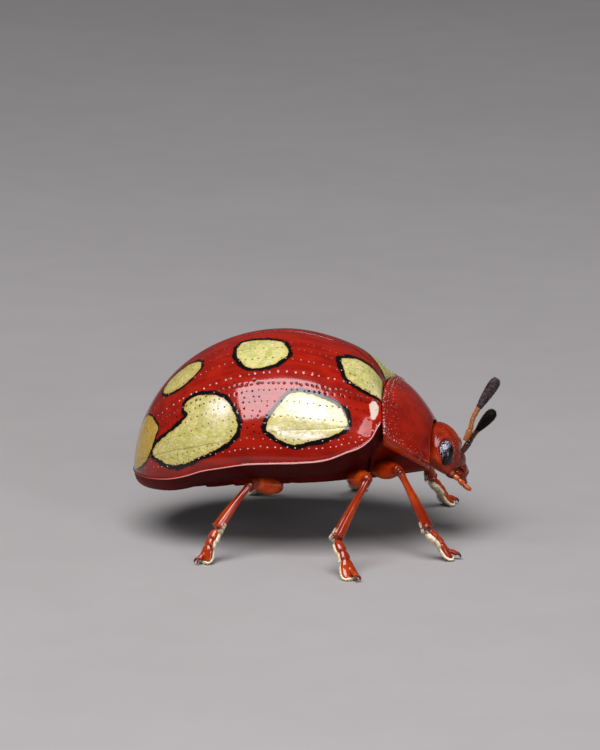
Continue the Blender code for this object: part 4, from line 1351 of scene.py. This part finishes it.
# The dark, middle and bright colour of each skin, and what else differs.
CUTICLES = {
    # its fold colour is painted light on the front plate's shaded folded sides
    "body_red": ((0.060, 0.0030, 0.0015), (0.195, 0.0050, 0.0012), (0.28, 0.0095, 0.0020),
                 {"fold": (0.60, 0.050, 0.006), "coat": 0.55}),
    "belly_red": ((0.012, 0.0015, 0.001), (0.070, 0.0030, 0.0012), (0.12, 0.005, 0.0016),
                  {"rough": (0.52, 0.64), "coat": 0.0, "gloss": 0.03}),
    "breast_red": ((0.030, 0.0020, 0.0012), (0.16, 0.0065, 0.0015), (0.26, 0.014, 0.0020),
                   {"rough": (0.40, 0.52), "coat": 0.15, "gloss": 0.04}),
    # its fold colour is painted light on the cheeks behind the eyes
    "head_red": ((0.050, 0.003, 0.0015), (0.155, 0.0055, 0.0012), (0.29, 0.024, 0.0025),
                 {"glow": 0.1, "fold": (0.46, 0.042, 0.004)}),
    # painted light: thighs far brighter than the shins, though they lie in the body's shade
    "thigh_orange": ((0.060, 0.004, 0.002), (0.56, 0.036, 0.0030), (0.78, 0.100, 0.007),
                     {"rough": (0.22, 0.32), "glow": 0.3, "coat": 0.7, "gloss": 0.03}),
    "leg_orange": ((0.045, 0.003, 0.0015), (0.225, 0.014, 0.0014), (0.37, 0.042, 0.0030),
                   {"rough": (0.22, 0.32), "glow": 0.15, "coat": 1.0, "gloss": 0.03}),
    "palp_amber": ((0.12, 0.008, 0.002), (0.36, 0.048, 0.005), (0.58, 0.150, 0.018),
                   {"rough": (0.14, 0.22), "coat": 1.0}),
    "claw_dark": ((0.010, 0.003, 0.002), (0.060, 0.006, 0.003), (0.16, 0.014, 0.004), {}),
    "neck_dark": ((0.004, 0.002, 0.002), (0.012, 0.003, 0.002), (0.030, 0.004, 0.002),
                  {"rough": (0.5, 0.6), "coat": 0.0}),
    "mouth_dark": ((0.010, 0.002, 0.002), (0.10, 0.005, 0.003), (0.20, 0.011, 0.004),
                   {"rough": (0.2, 0.34), "wrinkle": 0.010}),
    "feeler_brown": ((0.012, 0.003, 0.002), (0.035, 0.009, 0.004), (0.10, 0.034, 0.009), {}),
    # painted light: a lighter, amber copy of the feeler colour for the far feeler
    "feeler_amber": ((0.05, 0.008, 0.003), (0.15, 0.042, 0.012), (0.27, 0.095, 0.025), {"glow": 0.2}),
}
# The dark and pale colour of each hairy one, and how rough it is.
FUZZES = {
    "pale_hair": ((0.80, 0.62, 0.38), (0.95, 0.88, 0.70), 0.6),
    "club_velvet": ((0.0025, 0.0015, 0.0015), (0.008, 0.005, 0.005), 0.75),
    # painted light: a lighter copy of the club colour for the far club
    "club_grey": ((0.016, 0.010, 0.011), (0.055, 0.036, 0.039), 0.6),
    "club_down": ((0.004, 0.003, 0.003), (0.013, 0.009, 0.009), 0.7),
    # painted light: a lighter copy of the club's down for the far club
    "club_down_grey": ((0.03, 0.020, 0.022), (0.09, 0.065, 0.068), 0.7),
}


def make_looks():
    """Every material of the animal, by name."""
    looks = {name: cuticle_material(name, *tints, **others) for name, (*tints, others) in CUTICLES.items()}
    looks.update({name: fuzz_material(name, *settings) for name, settings in FUZZES.items()})
    return {**looks, "shell_gloss": shell_material(), "eye_facets": eye_material()}


# ---------------------------------------- studio

VIEW_AZIMUTH, VIEW_ELEVATION = math.radians(8.0), math.radians(13.0)
VIEW_DISTANCE, VIEW_WIDTH = 180.0, 17.857  # mm, and the width seen at the beetle
VIEW_TARGET, AIM_UP, AIM_RIGHT = np.array((-2.5, 0.0, 2.9)), 1.857, -0.03
SENSOR = 36.0
FLOOR_HALF = 3000.0
AMBIENT_COLOUR, AMBIENT = (0.95, 0.97, 1.0, 1.0), 0.08


def view_axes():
    a, e = VIEW_AZIMUTH, VIEW_ELEVATION
    right = np.array((math.cos(a), math.sin(a), 0.0))
    back = np.array((math.sin(a) * math.cos(e), -math.cos(a) * math.cos(e), math.sin(e)))
    return right, np.cross(back, right), back


def place_object(name, data, where, axes):
    """An object at a place in body-frame millimetres, its X, Y and Z along the three axes."""
    obj = bpy.data.objects.new(name, data)
    obj.location = world(where)
    obj.rotation_euler = Matrix(np.transpose(axes).tolist()).to_euler()
    bpy.context.scene.collection.objects.link(obj)
    return obj


def add_camera():
    right, up, back = view_axes()
    camera = bpy.data.cameras.new("camera")
    camera.sensor_fit, camera.sensor_width = "HORIZONTAL", SENSOR
    camera.lens = SENSOR * VIEW_DISTANCE / VIEW_WIDTH
    camera.clip_start, camera.clip_end = 10 * MM, 20.0
    where = VIEW_TARGET + up * AIM_UP + right * AIM_RIGHT + back * VIEW_DISTANCE
    bpy.context.scene.camera = place_object("camera", camera, where, view_axes())


def add_softbox(name, azimuth, elevation, distance, wide, high, radiance, colour, roll=0.0):
    """A rectangular light aimed at the beetle; azimuth runs from the camera's side to its right, in degrees.
    Its wide side is level, then turned by roll."""
    right, _, back = view_axes()
    level = unit(back * (1.0, 1.0, 0.0))
    a, e, r = (math.radians(angle) for angle in (azimuth, elevation, roll))
    away = (level * math.cos(a) + right * math.sin(a)) * math.cos(e) + UP * math.sin(e)
    along = unit(np.cross(UP, away))
    over = np.cross(away, along)
    axes = (along * math.cos(r) + over * math.sin(r), over * math.cos(r) - along * math.sin(r), away)
    light = bpy.data.lights.new(name, "AREA")
    light.shape, light.size, light.size_y = "RECTANGLE", wide * MM, high * MM
    light.energy, light.color = radiance * math.pi * wide * high * MM**2, colour
    place_object(name, light, VIEW_TARGET + away * distance, axes)


def add_floor():
    mesh = bpy.data.meshes.new("floor")
    bm = bmesh.new()
    bmesh.ops.create_grid(bm, x_segments=8, y_segments=8, size=FLOOR_HALF * MM)
    bm.to_mesh(mesh)
    bm.free()
    mesh.materials.append(floor_material())
    floor = bpy.data.objects.new("floor", mesh)
    bpy.context.scene.collection.objects.link(floor)


def add_studio():
    add_camera()
    add_softbox("key_softbox", -19.5, 62.0, 160.0, 136.0, 106.0, 10.4, (1.0, 0.950, 0.985), 21.0)
    add_softbox("fill_softbox", 34.0, 20.0, 200.0, 66.0, 60.0, 9.0, (0.90, 0.94, 1.0))
    add_floor()
    ambient = bpy.data.worlds.new("studio")
    ambient.use_nodes = True
    background = ambient.node_tree.nodes["Background"]
    background.inputs["Color"].default_value = AMBIENT_COLOUR
    background.inputs["Strength"].default_value = AMBIENT
    bpy.context.scene.world = ambient
    bpy.context.scene.view_settings.view_transform = "Standard"


# ---------------------------------------- the animal

def build_beetle():
    looks = make_looks()
    for add_part in (
            add_wing_cases, add_scutellum, add_trunk, add_pronotum, add_prosternum, add_head, add_feelers,
            add_mouth):
        add_part(looks)
    for word, joints in LEGS.items():
        hip, knee, ankle, claws = np.array(joints)
        add_thigh(word, hip, knee, ankle, looks)
        add_shin(word, knee, ankle, looks)
        add_foot(word, ankle, claws, looks)


build_beetle()
add_studio()
